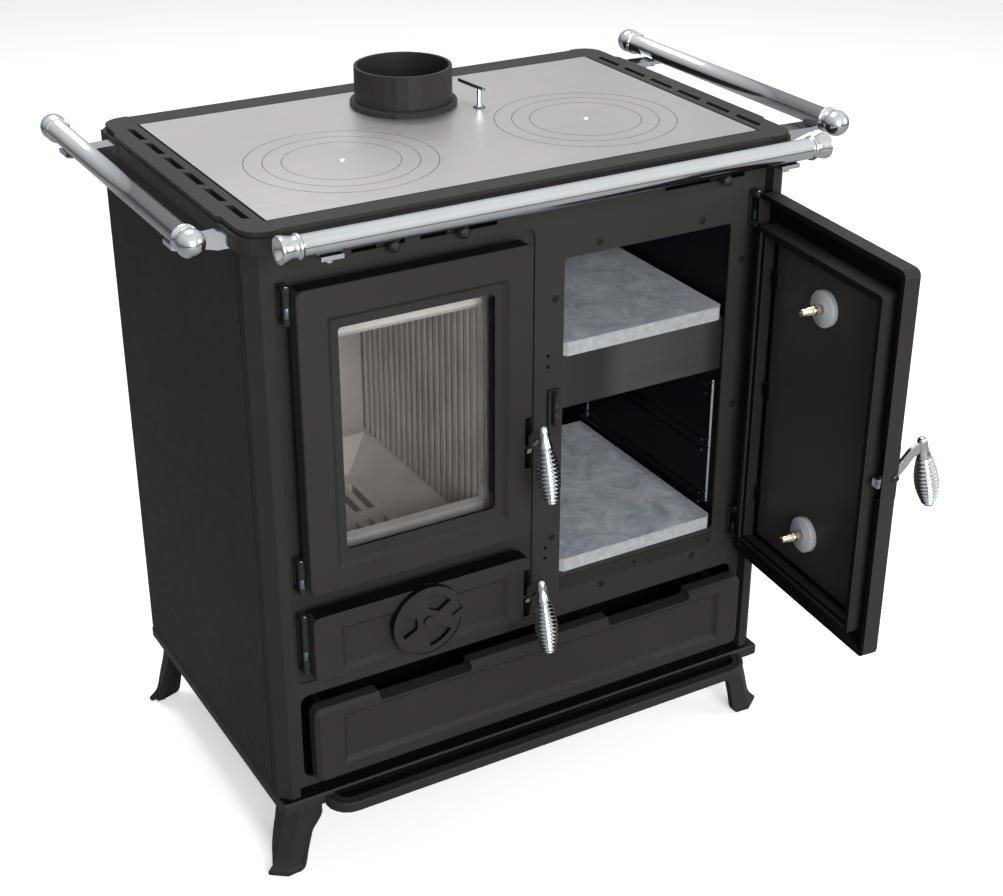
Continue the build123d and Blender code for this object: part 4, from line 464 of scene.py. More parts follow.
def slot_materials():
    """The material of each slot that the CAD names."""
    return {
        "black_casting": casting_black("black_casting"),
        "black_sheet": black_sheet("black_sheet", 1.0),
        "bright_plate": steel_plate(),
        "chrome": chrome("chrome_plate", 0.12, 0.62),
        "stainless": satin_steel_painted_reflection(),
        "wire": chrome("bright_wire", 0.15, 0.6),
        "baking_stone": baking_stone(),
        "fire_stone": fire_stone("fire_stone"),
        "clear_glass": glass("clear_glass", 0.02, clear=0.9, level=0.3, rough=0.02),
        "dark_glass": glass("dark_glass", 0.03, clear=0.03, level=0.12, rough=0.3),
        "rope_seal": rope(),
        "brass": brass(),
        "black_knob": plain_finish("knob_black", 60.0, 0.012, 0.018, 0.3),
    }


def casting_with_painted_shade(name, direction, start, full, least, below=None):
    """Casting with painted shade: its faces along one direction are darkened to near black."""
    mat = casting_black(name)
    paint_shade_on_faces(mat, direction, start, full, least, below)
    return mat


def lining_with_painted_shade(name, least):
    """Firebrick with painted shade: its front faces are darker."""
    mat = fire_stone(name)
    paint_shade_on_faces(mat, FRONTWARD, 0.5, 0.9, least)
    return mat


def special_materials(dark):
    """Nodes with a material of their own: painted shade on chosen faces and on the slider guides, a brighter
    front panel as painted light, and the oven's enamel.
    """
    # painted shade on the left-facing faces of the oven door and its parts
    inside = casting_with_painted_shade("door_left_faces_painted_shade", LEFTWARD, 0.4, 0.7, 0.06)
    # painted shade on the top faces of the firebox door, ash door and plinth
    top = casting_with_painted_shade("casting_painted_top_shade", UPWARD, 0.75, 0.95, 0.08)
    # painted shade on the ledge's upward faces lower than its top rim
    recess_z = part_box("front_ledge")[1].z - 0.001
    special = {
        "front_ledge": casting_with_painted_shade("ledge_painted_top_shade", UPWARD, 0.75, 0.95, 0.08, recess_z),
        # painted shade on the front faces of the firebox linings
        "firebox_side_linings": lining_with_painted_shade("fire_stone_ends_painted_shade", 0.68),
        "firebox_back_lining": lining_with_painted_shade("fire_stone_back_painted_shade", 0.6),
        # a brighter copy of the black sheet on the front panel, as painted light
        "front_panel": black_sheet("panel_sheet_painted_light", 1.28),
        # painted shade on the dial's faces that do not look to the front
        "air_dial": casting_with_painted_shade("dial_painted_side_shade", FRONTWARD, 0.8, 0.4, 0.06),
        "oven_liner": oven_enamel(),
        # the slider guides are near black as painted shade behind the slots
        "slider_guides": dark,
    }
    # the oven door and its parts get the painted shade on their left-facing faces
    for node in ("oven_door", "oven_door_inner_frame", "oven_door_fittings"):
        special[node] = inside
    # painted shade on the top faces of these
    for node in ("firebox_door", "ash_door", "plinth"):
        special[node] = top
    return special


def dress(slots, special):
    """Gives every CAD node the material of its slot, or one of its own."""
    for part in frame["record"]["subparts"]:
        node = frame["nodes"][part["node"]]
        mat = special.get(part["node"], slots[part["material_slot"]])
        node.data.materials.clear()
        node.data.materials.append(mat)


# Places shared with the frame, in metres
SHIFT_Y = 0.14566813
PANEL_Y = -0.214 + SHIFT_Y
DOOR_FACE_Y = -0.248 + SHIFT_Y
DOOR_BACK_Y = -0.226 + SHIFT_Y
PANE_FRONT_Y = -0.239 + SHIFT_Y
PANE_BACK_Y = PANE_FRONT_Y + 0.0046
HINGE_X = 0.3165
HINGE_Y = -0.2267 + SHIFT_Y
HINGE_POINT = Vector((HINGE_X, HINGE_Y, 0))
OPEN_ANGLE = math.radians(85.3)
CLOSED = Matrix.Identity(4)
SWING = Matrix.Rotation(OPEN_ANGLE, 4, "Z")
OPENED = Matrix.Translation(HINGE_POINT) @ SWING @ Matrix.Translation(-HINGE_POINT)
TOP_Z = 0.860
ROUND_SIDES = 40

# The doors: name, free edge in X, side of the hinge, height of the lever's pin, and how the door stands
DOORS = (
    ("firebox", -0.018, -1, 0.530, CLOSED),
    ("ash", -0.018, -1, 0.318, CLOSED),
    ("oven", 0.018, 1, 0.530, OPENED),
)


# Mesh tools
def add_ring(bm, radius, height):
    """One circle of points of a turned shape, or its tip."""
    if radius == 0:
        return [bm.verts.new((0, 0, height))]
    ring = []
    for side in range(ROUND_SIDES):
        angle = 2 * math.pi * side / ROUND_SIDES
        ring.append(bm.verts.new((radius * math.cos(angle), radius * math.sin(angle), height)))
    return ring


def join_rings(bm, upper, lower):
    """The faces between two circles, or between a tip and a circle."""
    for side in range(ROUND_SIDES):
        after = (side + 1) % ROUND_SIDES
        if len(upper) == 1:
            bm.faces.new((upper[0], lower[side], lower[after]))
        elif len(lower) == 1:
            bm.faces.new((upper[side], lower[0], upper[after]))
        else:
            bm.faces.new((upper[side], lower[side], lower[after], upper[after]))


def turned_mesh(profile, matrix):
    """A solid of revolution about its own Z axis, put in its place."""
    bm = bmesh.new()
    rings = [add_ring(bm, radius, height) for radius, height in profile]
    for upper, lower in zip(rings, rings[1:]):
        join_rings(bm, upper, lower)
    for face in bm.faces:
        face.smooth = True
    bmesh.ops.transform(bm, matrix=matrix, verts=bm.verts)
    bmesh.ops.recalc_face_normals(bm, faces=bm.faces)
    return bm


def box_mesh(low, high, edge, matrix=CLOSED):
    """A block between two corners with its edges rounded by an amount."""
    bm = bmesh.new()
    bmesh.ops.create_cube(bm, size=1)
    for vert in bm.verts:
        for axis in range(3):
            vert.co[axis] = low[axis] if vert.co[axis] < 0 else high[axis]
    if edge:
        bmesh.ops.bevel(bm, geom=list(bm.edges), offset=edge, segments=2, affect="EDGES")
    bmesh.ops.transform(bm, matrix=matrix, verts=bm.verts)
    bmesh.ops.recalc_face_normals(bm, faces=bm.faces)
    return bm


def plate_mesh(outline, x_low, x_high, edge, matrix=CLOSED):
    """A flat plate from its outline in Y and Z, between two X places, with rounded edges."""
    bm = bmesh.new()
    near = [bm.verts.new((x_low, y, z)) for y, z in outline]
    far = [bm.verts.new((x_high, y, z)) for y, z in outline]
    bm.faces.new(near)
    bm.faces.new(list(reversed(far)))
    for step in range(len(outline)):
        after = (step + 1) % len(outline)
        bm.faces.new((near[step], far[step], far[after], near[after]))
    bmesh.ops.recalc_face_normals(bm, faces=bm.faces)
    bmesh.ops.bevel(bm, geom=list(bm.edges), offset=edge, segments=2, affect="EDGES")
    bmesh.ops.transform(bm, matrix=matrix, verts=bm.verts)
    bmesh.ops.recalc_face_normals(bm, faces=bm.faces)
    return bm


def piece(name, meshes, material, body, replaced=()):
    """One object made of several meshes, which rides on a body and may stand for CAD nodes."""
    mesh = bpy.data.meshes.new(name)
    whole = bmesh.new()
    for bm in meshes:
        part = bpy.data.meshes.new(name + "_part")
        bm.to_mesh(part)
        bm.free()
        whole.from_mesh(part)
        bpy.data.meshes.remove(part)
    whole.to_mesh(mesh)
    whole.free()
    mesh.materials.append(material)
    made = bpy.data.objects.new(name, mesh)
    bpy.context.scene.collection.objects.link(made)
    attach(made, body)
    if replaced:
        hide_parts(*replaced)
    return made


def aim(place, axis):
    """A matrix that puts a turned shape at a place with its Z axis along a direction."""
    turn = Vector(axis).to_track_quat("Z", "Y").to_matrix().to_4x4()
    return Matrix.Translation(place) @ turn


# Towel rails
RAIL_Z = 0.8628
SIDE_RAIL_X = 0.4216
SIDE_RAIL_ENDS = (-0.2369 + SHIFT_Y, 0.2231 + SHIFT_Y)
FRONT_RAIL_X = 0.3478
FRONT_RAIL_Y = -0.3006 + SHIFT_Y
CAP_BALL = 0.016


def cap_profile():
    """Radius and height of a side rail's end, from its tip inward: ball, waist and ring."""
    points = [(0.0, -CAP_BALL)]
    for step in range(1, 14):
        angle = math.radians(9 * step)
        points.append((CAP_BALL * math.sin(angle), -CAP_BALL * math.cos(angle)))
    waist = points[-1][1]
    points += [(0.0122, waist + 0.0015), (0.0118, waist + 0.004), (0.0124, waist + 0.0065)]
    ring = waist + 0.0075
    points += [(0.0146, ring), (0.0156, ring + 0.001), (0.0156, ring + 0.003), (0.0146, ring + 0.004)]
    points += [(0.0131, ring + 0.0042), (0.0131, ring + 0.0062), (0.0125, ring + 0.0065)]
    return points


def flared_cap_profile():
    """Radius and height of the front rail's end, from its tip inward: dish, lip, waist and ring."""
    points = [(0.0, 0.003), (0.004, 0.0022), (0.0075, -0.0002), (0.0105, -0.0036), (0.0125, -0.005)]
    points += [(0.0142, -0.0052), (0.0153, -0.0042), (0.0156, -0.0026), (0.0153, -0.0004), (0.0144, 0.003)]
    points += [(0.0135, 0.0062), (0.0129, 0.0092), (0.0126, 0.0122)]
    points += [(0.0136, 0.0146), (0.0146, 0.0154), (0.0149, 0.0168), (0.0146, 0.0182), (0.0136, 0.019)]
    points += [(0.0127, 0.0192), (0.0125, 0.021)]
    return points


def rail_mesh(start, end, cap):
    """A smooth towel rail with a cap on each end, between the centres of its caps."""
    span = Vector(end) - Vector(start)
    profile = cap + [(radius, span.length - height) for radius, height in reversed(cap)]
    return turned_mesh(profile, aim(start, span))


def towel_rails(material):
    """The two side rails and the front rail."""
    sides = []
    for x in (-SIDE_RAIL_X, SIDE_RAIL_X):
        start, end = [(x, y, RAIL_Z) for y in SIDE_RAIL_ENDS]
        sides.append(rail_mesh(start, end, cap_profile()))
    piece("side_rails_smooth", sides, material, "stove_body", ("towel_rails_side",))
    start, end = [(x, FRONT_RAIL_Y, RAIL_Z) for x in (-FRONT_RAIL_X, FRONT_RAIL_X)]
    front = rail_mesh(start, end, flared_cap_profile())
    piece("front_rail_smooth", [front], material, "stove_body", ("towel_rail_front",))


# Levers
PIVOT_Y = DOOR_FACE_Y + 0.004
HOOK_Y = DOOR_BACK_Y + 0.0055
LEVER_INSET = 0.0045
LEVER_HALF = 0.003
LEVER_EDGE = 0.0006
HOOK_REACH = 0.008
GRIP_Y = DOOR_FACE_Y - 0.033
GRIP_RISE = 0.039
GRIP_TILT = math.radians(13.6)
GRIP_LENGTH = 0.0655
GRIP_RADIUS = 0.0148
NECK = 0.024
FIN_COUNT = 13
FIN_CORE = 0.62


def grip_profile():
    """Radius and height down the grip: a rounded neck, a gap, sharp fins and a domed end."""
    points = [(0.0, 0.0056), (0.0032, 0.005), (0.0052, 0.0032), (0.0061, 0.0004), (0.0062, -0.004)]
    points += [(0.0064, -0.01), (0.0074, -0.016), (0.0088, -0.021), (0.0088, -0.0228), (0.0068, -0.0236)]
    pitch = GRIP_LENGTH / FIN_COUNT
    for index in range(FIN_COUNT):
        share = (index + 0.5) / FIN_COUNT
        end = 0.0095 if share < 0.5 else 0.0085
        radius = end + (GRIP_RADIUS - end) * math.sin(share * math.pi)
        core = radius * FIN_CORE
        top = -NECK - index * pitch
        points.append((core, top - 0.0004))
        points.append((radius - 0.0005, top - pitch * 0.24))
        points.append((radius, top - pitch * 0.4))
        points.append((radius - 0.0005, top - pitch * 0.56))
        points.append((core, top - pitch * 0.84))
    low = -NECK - GRIP_LENGTH
    points += [(0.0068, low - 0.0002), (0.0062, low - 0.0018), (0.0042, low - 0.0032), (0.0, low - 0.0039)]
    return points


def arm_outline(lever_z):
    """The lever's flat plate in Y and Z: hub, curved arm out to the grip and tail to the hook."""
    end_z = lever_z + GRIP_RISE
    hook_z = lever_z - 0.0045
    return [
        (PIVOT_Y - 0.007, lever_z), (PIVOT_Y - 0.016, lever_z + 0.0085), (PIVOT_Y - 0.026, lever_z + 0.0205),
        (GRIP_Y - 0.003, end_z - 0.0115), (GRIP_Y - 0.0045, end_z - 0.004), (GRIP_Y - 0.002, end_z),
        (GRIP_Y + 0.002, end_z), (GRIP_Y + 0.0045, end_z - 0.001), (PIVOT_Y - 0.021, lever_z + 0.0325),
        (PIVOT_Y - 0.009, lever_z + 0.0195), (PIVOT_Y + 0.0045, lever_z + 0.007), (HOOK_Y, hook_z + 0.0045),
        (HOOK_Y, hook_z - 0.0045), (PIVOT_Y + 0.0045, lever_z - 0.007), (PIVOT_Y - 0.0045, lever_z - 0.007),
    ]


def hook_mesh(x, side, lever_z, place):
    """The hook behind the door at the lever's inner end."""
    near, far = sorted((x - side * LEVER_HALF, x + side * HOOK_REACH))
    low = (near, HOOK_Y - 0.005, lever_z - 0.01)
    high = (far, HOOK_Y, lever_z + 0.001)
    return box_mesh(low, high, LEVER_EDGE, place)


def levers(material):
    """The three levers, each a plate with a hook and a finned grip."""
    for name, edge, side, lever_z, place in DOORS:
        x = edge + side * LEVER_INSET
        plate = plate_mesh(arm_outline(lever_z), x - LEVER_HALF, x + LEVER_HALF, LEVER_EDGE, place)
        hook = hook_mesh(x, side, lever_z, place)
        grip_place = place @ Matrix.Translation((x, GRIP_Y, lever_z + GRIP_RISE))
        grip = turned_mesh(grip_profile(), grip_place @ Matrix.Rotation(-GRIP_TILT, 4, "X"))
        meshes = [plate, hook, grip]
        piece(name + "_lever_smooth", meshes, material, name + "_lever", (name + "_door_lever",))


# The wall beside each lever's slot, and the head of the lever's pin by radius and height
SLOT_WALL = 0.0011
SLOT_DOWN = 0.027
SLOT_UP = 0.041
PIN_HEAD = (0.0052, 0.0032)
PIN_SLOT = ((-0.0032, -0.0006, 0.0028), (0.0032, 0.0006, 0.0033))


def slot_covers(casting, black, dark):
    """The thin outer wall beside each lever's slot, and the slotted head of the lever's pin."""
    for name, edge, side, lever_z, place in DOORS:
        near, far = sorted((edge, edge + side * SLOT_WALL))
        low = (near, DOOR_FACE_Y + 0.0003, lever_z - SLOT_DOWN)
        high = (far, DOOR_BACK_Y, lever_z + SLOT_UP)
        piece(name + "_slot_wall", [box_mesh(low, high, 0, place)], casting, name + "_door")
        head_place = place @ aim((edge, PIVOT_Y, lever_z), (-side, 0, 0))
        head = turned_mesh(screw_profile(*PIN_HEAD), head_place)
        piece(name + "_pin_head", [head], black, name + "_door")
        cut = box_mesh(*PIN_SLOT, 0, head_place)
        piece(name + "_pin_slot", [cut], dark, name + "_door")


# The feet in millimetres: height, lean outward, reach of the front and side wings, toe, and how far
# the face is sunk
FOOT_SECTIONS = (
    (0.2, 9.0, 20.0, 24.0, 6.0, 0.0),
    (1.2, 9.0, 23.0, 26.5, 8.5, 0.0),
    (4.0, 9.0, 26.0, 28.0, 10.0, 0.0),
    (8.0, 8.8, 28.0, 29.5, 10.0, 0.0),
    (9.5, 8.6, 28.5, 30.0, 9.5, 1.3),
    (12.0, 8.4, 29.0, 30.5, 7.5, 1.4),
    (16.0, 8.0, 30.0, 31.0, 4.0, 1.4),
    (22.0, 7.2, 31.0, 32.5, 1.2, 1.4),
    (30.0, 6.0, 32.5, 35.0, 0.0, 1.4),
    (40.0, 3.6, 35.0, 38.0, 0.0, 1.4),
    (50.0, 1.2, 37.5, 40.0, 0.0, 1.4),
    (57.0, -0.8, 39.0, 41.5, 0.0, 1.4),
    (62.0, -2.2, 41.5, 42.5, 0.0, 1.4),
    (68.0, -4.0, 46.0, 43.5, 0.0, 1.4),
    (75.0, -5.6, 51.0, 44.5, 0.0, 1.4),
    (82.0, -6.8, 54.0, 45.0, 0.0, 1.4),
    (89.0, -7.6, 54.0, 45.0, 0.0, 1.4),
    (90.5, -7.8, 54.0, 45.0, 0.0, 0.0),
    (97.9, -8.0, 54.0, 45.0, 0.0, 0.0),
)
FOOT_CORNER = (363.0, -238.0, 234.0)
FOOT_FACET = 14.1
FOOT_SETBACK = 7.0
FOOT_BORDER = 4.5
FOOT_WALL = 11.0
TOE_ALONG = 0.4
TOE_OUT = 0.2
SUNK_ALONG = 0.4
FOOT_SHARP = math.radians(28)


def foot_ring(lean, front, side, toe, sunk):
    """One level outline of a foot, in along-front and along-side lengths from its corner."""
    out = -lean
    back = FOOT_SETBACK
    wall = out + FOOT_WALL
    inner = back + FOOT_WALL
    border = FOOT_BORDER
    return [
        (front, back), (front - border, back), (front - border - 1, back + sunk),
        (out + FOOT_FACET - TOE_ALONG * toe + SUNK_ALONG * sunk, back - TOE_OUT * toe + sunk),
        (out - toe + sunk, back + FOOT_FACET - TOE_OUT * toe + SUNK_ALONG * sunk),
        (out + sunk, side - border - 1), (out, side - border), (out, side),
        (wall, side), (wall, inner + 2), (wall + 2, inner), (front, inner),
    ]


def foot_mesh(across, back):
    """One cast foot: two wings, a broad cut corner, a sunk face and a toe at the corner."""
    bm = bmesh.new()
    rings = []
    for height, lean, front, side, toe, sunk in FOOT_SECTIONS:
        ring = []
        for along, inward in foot_ring(lean, front, side, toe, sunk):
            x = across * (FOOT_CORNER[0] - along)
            y = FOOT_CORNER[2] - inward if back else FOOT_CORNER[1] + inward
            ring.append(bm.verts.new((x / 1000, y / 1000 + SHIFT_Y, height / 1000)))
        rings.append(ring)
    for low, high in zip(rings, rings[1:]):
        for step in range(len(low)):
            after = (step + 1) % len(low)
            bm.faces.new((low[step], low[after], high[after], high[step]))
    caps = [bm.faces.new(rings[0]), bm.faces.new(list(reversed(rings[-1])))]
    bmesh.ops.triangulate(bm, faces=caps)
    bmesh.ops.recalc_face_normals(bm, faces=bm.faces)
    for face in bm.faces:
        face.smooth = True
    return bm


def cast_feet(material):
    """The four feet."""
    feet = [foot_mesh(across, back) for across in (-1, 1) for back in (False, True)]
    made = piece("cast_feet", feet, material, "stove_body", ("feet",))
    made.data.set_sharp_from_angle(angle=FOOT_SHARP)


# The seat of the air dial, between the ash door's three ports
DIAL_PLACE = (-0.166, 0.333)
SEAT_STARTS = (30, 150, 270)
SEAT_SPAN = 60
SEAT_RADII = (0.0085, 0.0465)
SEAT_DEPTHS = (DOOR_FACE_Y + 0.0002, DOOR_FACE_Y + 0.0056)
SECTOR_STEPS = 12


def sector_mesh(centre, radii, angles, depths):
    """A slab shaped as a part of a ring, facing the front."""
    bm = bmesh.new()
    rows = []
    for y in depths:
        inner = []
        outer = []
        for step in range(SECTOR_STEPS + 1):
            angle = math.radians(angles[0] + (angles[1] - angles[0]) * step / SECTOR_STEPS)
            for points, reach in ((inner, radii[0]), (outer, radii[1])):
                x = centre[0] + reach * math.cos(angle)
                z = centre[1] + reach * math.sin(angle)
                points.append(bm.verts.new((x, y, z)))
        rows.append(inner + list(reversed(outer)))
    near, far = rows
    bm.faces.new(near)
    bm.faces.new(list(reversed(far)))
    for step in range(len(near)):
        after = (step + 1) % len(near)
        bm.faces.new((near[step], far[step], far[after], near[after]))
    bmesh.ops.recalc_face_normals(bm, faces=bm.faces)
    return bm


def dial_seat(material):
    """The raised seat behind the air dial."""
    sectors = []
    for start in SEAT_STARTS:
        sectors.append(sector_mesh(DIAL_PLACE, SEAT_RADII, (start, start + SEAT_SPAN), SEAT_DEPTHS))
    piece("air_dial_seat", sectors, material, "ash_door")


# Screws and small holes: places in X and Z in millimetres, and discs by radius and height
PANEL_SCREWS = (
    (94, 761), (243, 761), (32.5, 700), (306, 698), (306, 496), (33, 373), (110, 280), (256, 280),
)
PANEL_HOLES = ((23.6, 627.6), (23.8, 613), (23.5, 359.3), (23.7, 344.4))
SILL_HOLES = ((162, 298.3), (281, 297.6))
SCREW_SEAT = (0.0046, 0.00008)
SCREW_HEAD = (0.0038, 0.00016)
SCREW_SOCKET = (0.0014, 0.00022)
PANEL_HOLE = (0.0023, 0.0001)
SILL_HOLE = (0.0018, 0.0001)


def screw_profile(radius, height):
    """A low domed head."""
    return [
        (radius, 0.0),
        (radius * 0.96, height * 0.45),
        (radius * 0.8, height * 0.85),
        (radius * 0.4, height),
        (0.0, height),
    ]


def disc_profile(radius, height):
    """A thin flat disc."""
    return [(radius, 0.0), (radius, height), (0.0, height)]


def front_discs(places, y, disc):
    """Thin discs on a face that looks to the front."""
    profile = disc_profile(*disc)
    return [turned_mesh(profile, aim((x / 1000, y, z / 1000), FRONTWARD)) for x, z in places]


def panel_screws(metal, dark):
    """Countersunk heads in the front panel: a dark seat, a flat head and a dark socket."""
    for name, disc, material in (
        ("panel_screw_seats", SCREW_SEAT, dark),
        ("panel_screw_heads", SCREW_HEAD, metal),
        ("panel_screw_sockets", SCREW_SOCKET, dark),
    ):
        piece(name, front_discs(PANEL_SCREWS, PANEL_Y, disc), material, "stove_body")


def small_holes(dark):
    """The small dark holes in the front panel and in the sill."""
    holes = front_discs(PANEL_HOLES, PANEL_Y, PANEL_HOLE)
    holes += front_discs(SILL_HOLES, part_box("oven_sill")[0].y, SILL_HOLE)
    piece("panel_holes", holes, dark, "stove_body")


# Dark strips: painted shade behind the slider slots and over the ledge, and a dark strip at the firebox
# window's free edge
SLOT_SPANS = ((-0.241, -0.155), (-0.156, -0.037), (0.175, 0.313))
SLOT_DEPTHS = (PANEL_Y + 0.011, PANEL_Y + 0.0115)
SLOT_HEIGHTS = (0.802, 0.820)
LEDGE_END = 0.012
WINDOW_EDGE = ((-0.0692, -0.2323 + SHIFT_Y, 0.472), (-0.0615, -0.2319 + SHIFT_Y, 0.729))


def painted_slot_shade():
    """A strip of painted shade behind each of the three slider slots."""
    strips = []
    for left, right in SLOT_SPANS:
        low = (left, SLOT_DEPTHS[0], SLOT_HEIGHTS[0])
        high = (right, SLOT_DEPTHS[1], SLOT_HEIGHTS[1])
        strips.append(box_mesh(low, high, 0))
    return strips


def ledge_shade():
    """The shade over the ledge, on the plinth's face."""
    ledge_low, ledge_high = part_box("front_ledge")
    plinth_low, plinth_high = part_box("plinth")
    low = (ledge_low.x + LEDGE_END, plinth_low.y - 0.0003, ledge_high.z - 0.005)
    high = (ledge_high.x - LEDGE_END, plinth_low.y, plinth_high.z - 0.002)
    return box_mesh(low, high, 0)


# Joint lines on the hob: where the rings and the damper's rod are, and how wide each line is
HOB_HOLES_X = (-0.1677, 0.1677)
HOB_HOLES_Y = -0.0603 + SHIFT_Y
HOB_JOINTS = (0.1143, 0.0922, 0.07)
ROD_PLACE = (0.0764, 0.0481 + SHIFT_Y)
ROD_SEAT = 0.0072
JOINT_WIDTH = 0.0006
ROD_SEAT_WIDTH = 0.0014
SIDE_SEAM = 0.0022
END_SEAM = 0.0004
RING_LEVEL = TOP_Z + 0.00006
SEAM_LEVEL = TOP_Z + 0.0001
RING_STEPS = 96


def ring_line(centre, radius, width):
    """A flat thin ring that marks a joint on the hob."""
    bm = bmesh.new()
    inner = []
    outer = []
    for step in range(RING_STEPS):
        angle = 2 * math.pi * step / RING_STEPS
        for points, reach in ((inner, radius - width / 2), (outer, radius + width / 2)):
            x = centre[0] + reach * math.cos(angle)
            y = centre[1] + reach * math.sin(angle)
            points.append(bm.verts.new((x, y, RING_LEVEL)))
    for step in range(RING_STEPS):
        after = (step + 1) % RING_STEPS
        bm.faces.new((inner[step], outer[step], outer[after], inner[after]))
    return bm


def plate_seams():
    """The dark seams on the four sides of the steel plate."""
    low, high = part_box("cooktop_plate")
    seams = []
    for x_low, x_high, y_low, y_high in (
        (low.x - SIDE_SEAM, low.x + JOINT_WIDTH, low.y, high.y),
        (high.x - JOINT_WIDTH, high.x + SIDE_SEAM, low.y, high.y),
        (low.x, high.x, low.y - END_SEAM, low.y + JOINT_WIDTH),
        (low.x, high.x, high.y - JOINT_WIDTH, high.y + END_SEAM),
    ):
        seams.append(box_mesh((x_low, y_low, TOP_Z), (x_high, y_high, SEAM_LEVEL), 0))
    return seams


def hob_lines(dark):
    """The dark joints between the hob's rings and around the plate, and the seat of the damper's rod."""
    lines = []
    for x in HOB_HOLES_X:
        for radius in HOB_JOINTS:
            lines.append(ring_line((x, HOB_HOLES_Y), radius, JOINT_WIDTH))
    lines.append(ring_line(ROD_PLACE, ROD_SEAT, ROD_SEAT_WIDTH))
    piece("hob_ring_lines", lines + plate_seams(), dark, "stove_body")


# Joint lines between side panels and corner posts: place in X, then place in Y and width of each
POST_X = 0.3611
POST_INNER = POST_X * 0.9996
POST_JOINTS = ((-0.202 + SHIFT_Y, 0.0012), (-0.2115 + SHIFT_Y, 0.0006))
POST_HEIGHTS = (0.117, 0.842)


def post_lines(dark):
    """The upright joint lines between each side panel and its corner post."""
    lines = []
    for side in (-1, 1):
        near, far = sorted((side * POST_X, side * POST_INNER))
        for y, width in POST_JOINTS:
            low = (near, y - width / 2, POST_HEIGHTS[0])
            high = (far, y + width / 2, POST_HEIGHTS[1])
            lines.append(box_mesh(low, high, 0))
    piece("post_joint_lines", lines, dark, "stove_body")


# The latch block beside the oven, by its corners, and its two screws
KEEPER_FACE_Y = PANEL_Y - 0.014
KEEPER_LOW = (0.0262, KEEPER_FACE_Y, 0.5365)
KEEPER_HIGH = (0.0326, PANEL_Y - 0.004, 0.5815)
KEEPER_EDGE = 0.0012
KEEPER_SCREW_X = 0.0294
KEEPER_SCREW_HEIGHTS = (0.5515, 0.5646)
KEEPER_SCREW = (0.0026, 0.0008)


def keeper(casting, metal):
    """The latch block on the mullion beside the oven, with its two screws."""
    block = box_mesh(KEEPER_LOW, KEEPER_HIGH, KEEPER_EDGE)
    piece("oven_keeper_block", [block], casting, "stove_body")
    heads = []
    for z in KEEPER_SCREW_HEIGHTS:
        head_place = aim((KEEPER_SCREW_X, KEEPER_FACE_Y, z), FRONTWARD)
        heads.append(turned_mesh(screw_profile(*KEEPER_SCREW), head_place))
    piece("keeper_screws", heads, metal, "stove_body")


# The oven thermometers: places, and turned shapes by radius and height
THERMOMETER_X = 0.166
THERMOMETER_HEIGHTS = (0.380, 0.690)
DIAL_FACE = (0.0194, 0.0062)
DIAL_CASE = (
    (0.0, 0.0), (0.0226, 0.0), (0.023, 0.0008), (0.023, 0.0062), (0.0222, 0.007), (0.02, 0.007),
    (0.0196, 0.006), (0.0, 0.006),
)
DRUM = ((0.0, 0.0), (0.0226, 0.0), (0.023, 0.0006), (0.023, 0.0078), (0.0224, 0.0086), (0.0, 0.0086))
PROBE = (
    (0.0, 0.008), (0.0064, 0.008), (0.0064, 0.0215), (0.0058, 0.0222), (0.0052, 0.0224),
    (0.0052, 0.0285), (0.0044, 0.029), (0.0044, 0.0364), (0.0038, 0.037), (0.0, 0.037),
)


def thermometers(metal, brass_metal, dark):
    """The oven thermometers: a dial outside the pane, a drum inside it and a stepped probe."""
    drums = []
    probes = []
    faces = []
    for z in THERMOMETER_HEIGHTS:
        outside = OPENED @ aim((THERMOMETER_X, PANE_FRONT_Y, z), FRONTWARD)
        inside = OPENED @ aim((THERMOMETER_X, PANE_BACK_Y, z), BACKWARD)
        drums += [turned_mesh(DIAL_CASE, outside), turned_mesh(DRUM, inside)]
        faces.append(turned_mesh(disc_profile(*DIAL_FACE), outside))
        probes.append(turned_mesh(PROBE, inside))
    piece("thermometer_drums", drums, metal, "oven_door", ("oven_door_thermometers",))
    piece("thermometer_probes", probes, brass_metal, "oven_door", ("oven_door_thermometers",))
    piece("thermometer_faces", faces, dark, "oven_door")


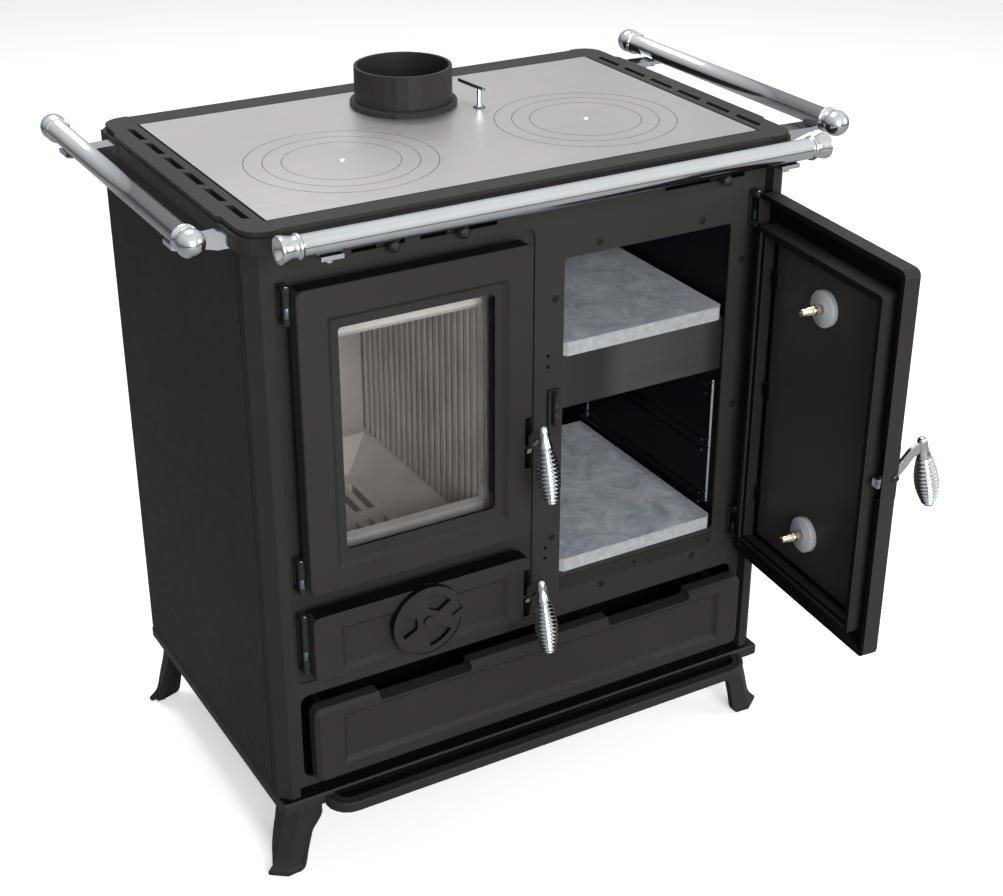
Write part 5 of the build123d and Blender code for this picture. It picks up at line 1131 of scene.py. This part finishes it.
# The hinges: door, side, and height and half length of each knuckle
HINGES = (
    ("firebox", -1, ((0.426, 0.022), (0.768, 0.022))),
    ("ash", -1, ((0.332, 0.040),)),
    ("oven", 1, ((0.322, 0.022), (0.768, 0.022))),
)
SLEEVE = ((0.0049, -0.006), (0.00505, -0.0055), (0.00505, 0.0055), (0.0049, 0.006))
SLEEVE_DROP = 0.35
HINGE_PIN = (0.0032, 0.0014)


def hinge_sleeves(metal):
    """Grey steel sleeves on the hinge knuckles and pin heads on the brackets."""
    for name, side, knuckles in HINGES:
        place = OPENED if side > 0 else CLOSED
        x = side * HINGE_X
        sleeves = []
        heads = []
        for z, half in knuckles:
            sleeve_place = place @ Matrix.Translation((x, HINGE_Y, z - half * SLEEVE_DROP))
            sleeves.append(turned_mesh(SLEEVE, sleeve_place))
            for end in (-1, 1):
                tip = aim((x, HINGE_Y, z + end * half), (0, 0, end))
                heads.append(turned_mesh(screw_profile(*HINGE_PIN), tip))
        piece(name + "_hinge_sleeves", sleeves, metal, name + "_door")
        piece(name + "_hinge_pin_heads", heads, metal, "stove_body")


def fine_pieces(slots, dark):
    """All pieces that are finer than the CAD."""
    casting = slots["black_casting"]
    towel_rails(slots["chrome"])
    levers(slots["chrome"])
    slot_covers(casting, slots["black_knob"], dark)
    panel_screws(slots["black_sheet"], dark)
    small_holes(dark)
    # painted shade behind the slider slots and on the plinth's face over the ledge
    piece("slot_and_ledge_shade", painted_slot_shade() + [ledge_shade()], dark, "stove_body")
    piece("firebox_window_edge", [box_mesh(*WINDOW_EDGE, 0)], dark, "firebox_door")
    hob_lines(dark)
    post_lines(dark)
    keeper(casting, black_metal("screw_black", 0.02, 0.03, 0.4, 500.0, 0.0002, 0.5))
    alloy = plain_finish("satin_alloy", 60.0, (0.44, 0.47, 0.49), (0.5, 0.53, 0.55), 0.35)
    thermometers(alloy, slots["brass"], dark)
    hinge_sleeves(chrome("hinge_steel", 0.35, 0.2))
    cast_feet(casting)
    dial_seat(casting)


def main():
    """Dresses the frame, adds the fine pieces, and sets the camera and light."""
    bpy.context.scene.view_settings.view_transform = "Standard"
    slots = slot_materials()
    dark = shadow_black()
    dress(slots, special_materials(dark))
    fine_pieces(slots, dark)
    make_floor()
    make_world()
    for light in LIGHTS:
        area_light(*light)
    make_camera()


main()
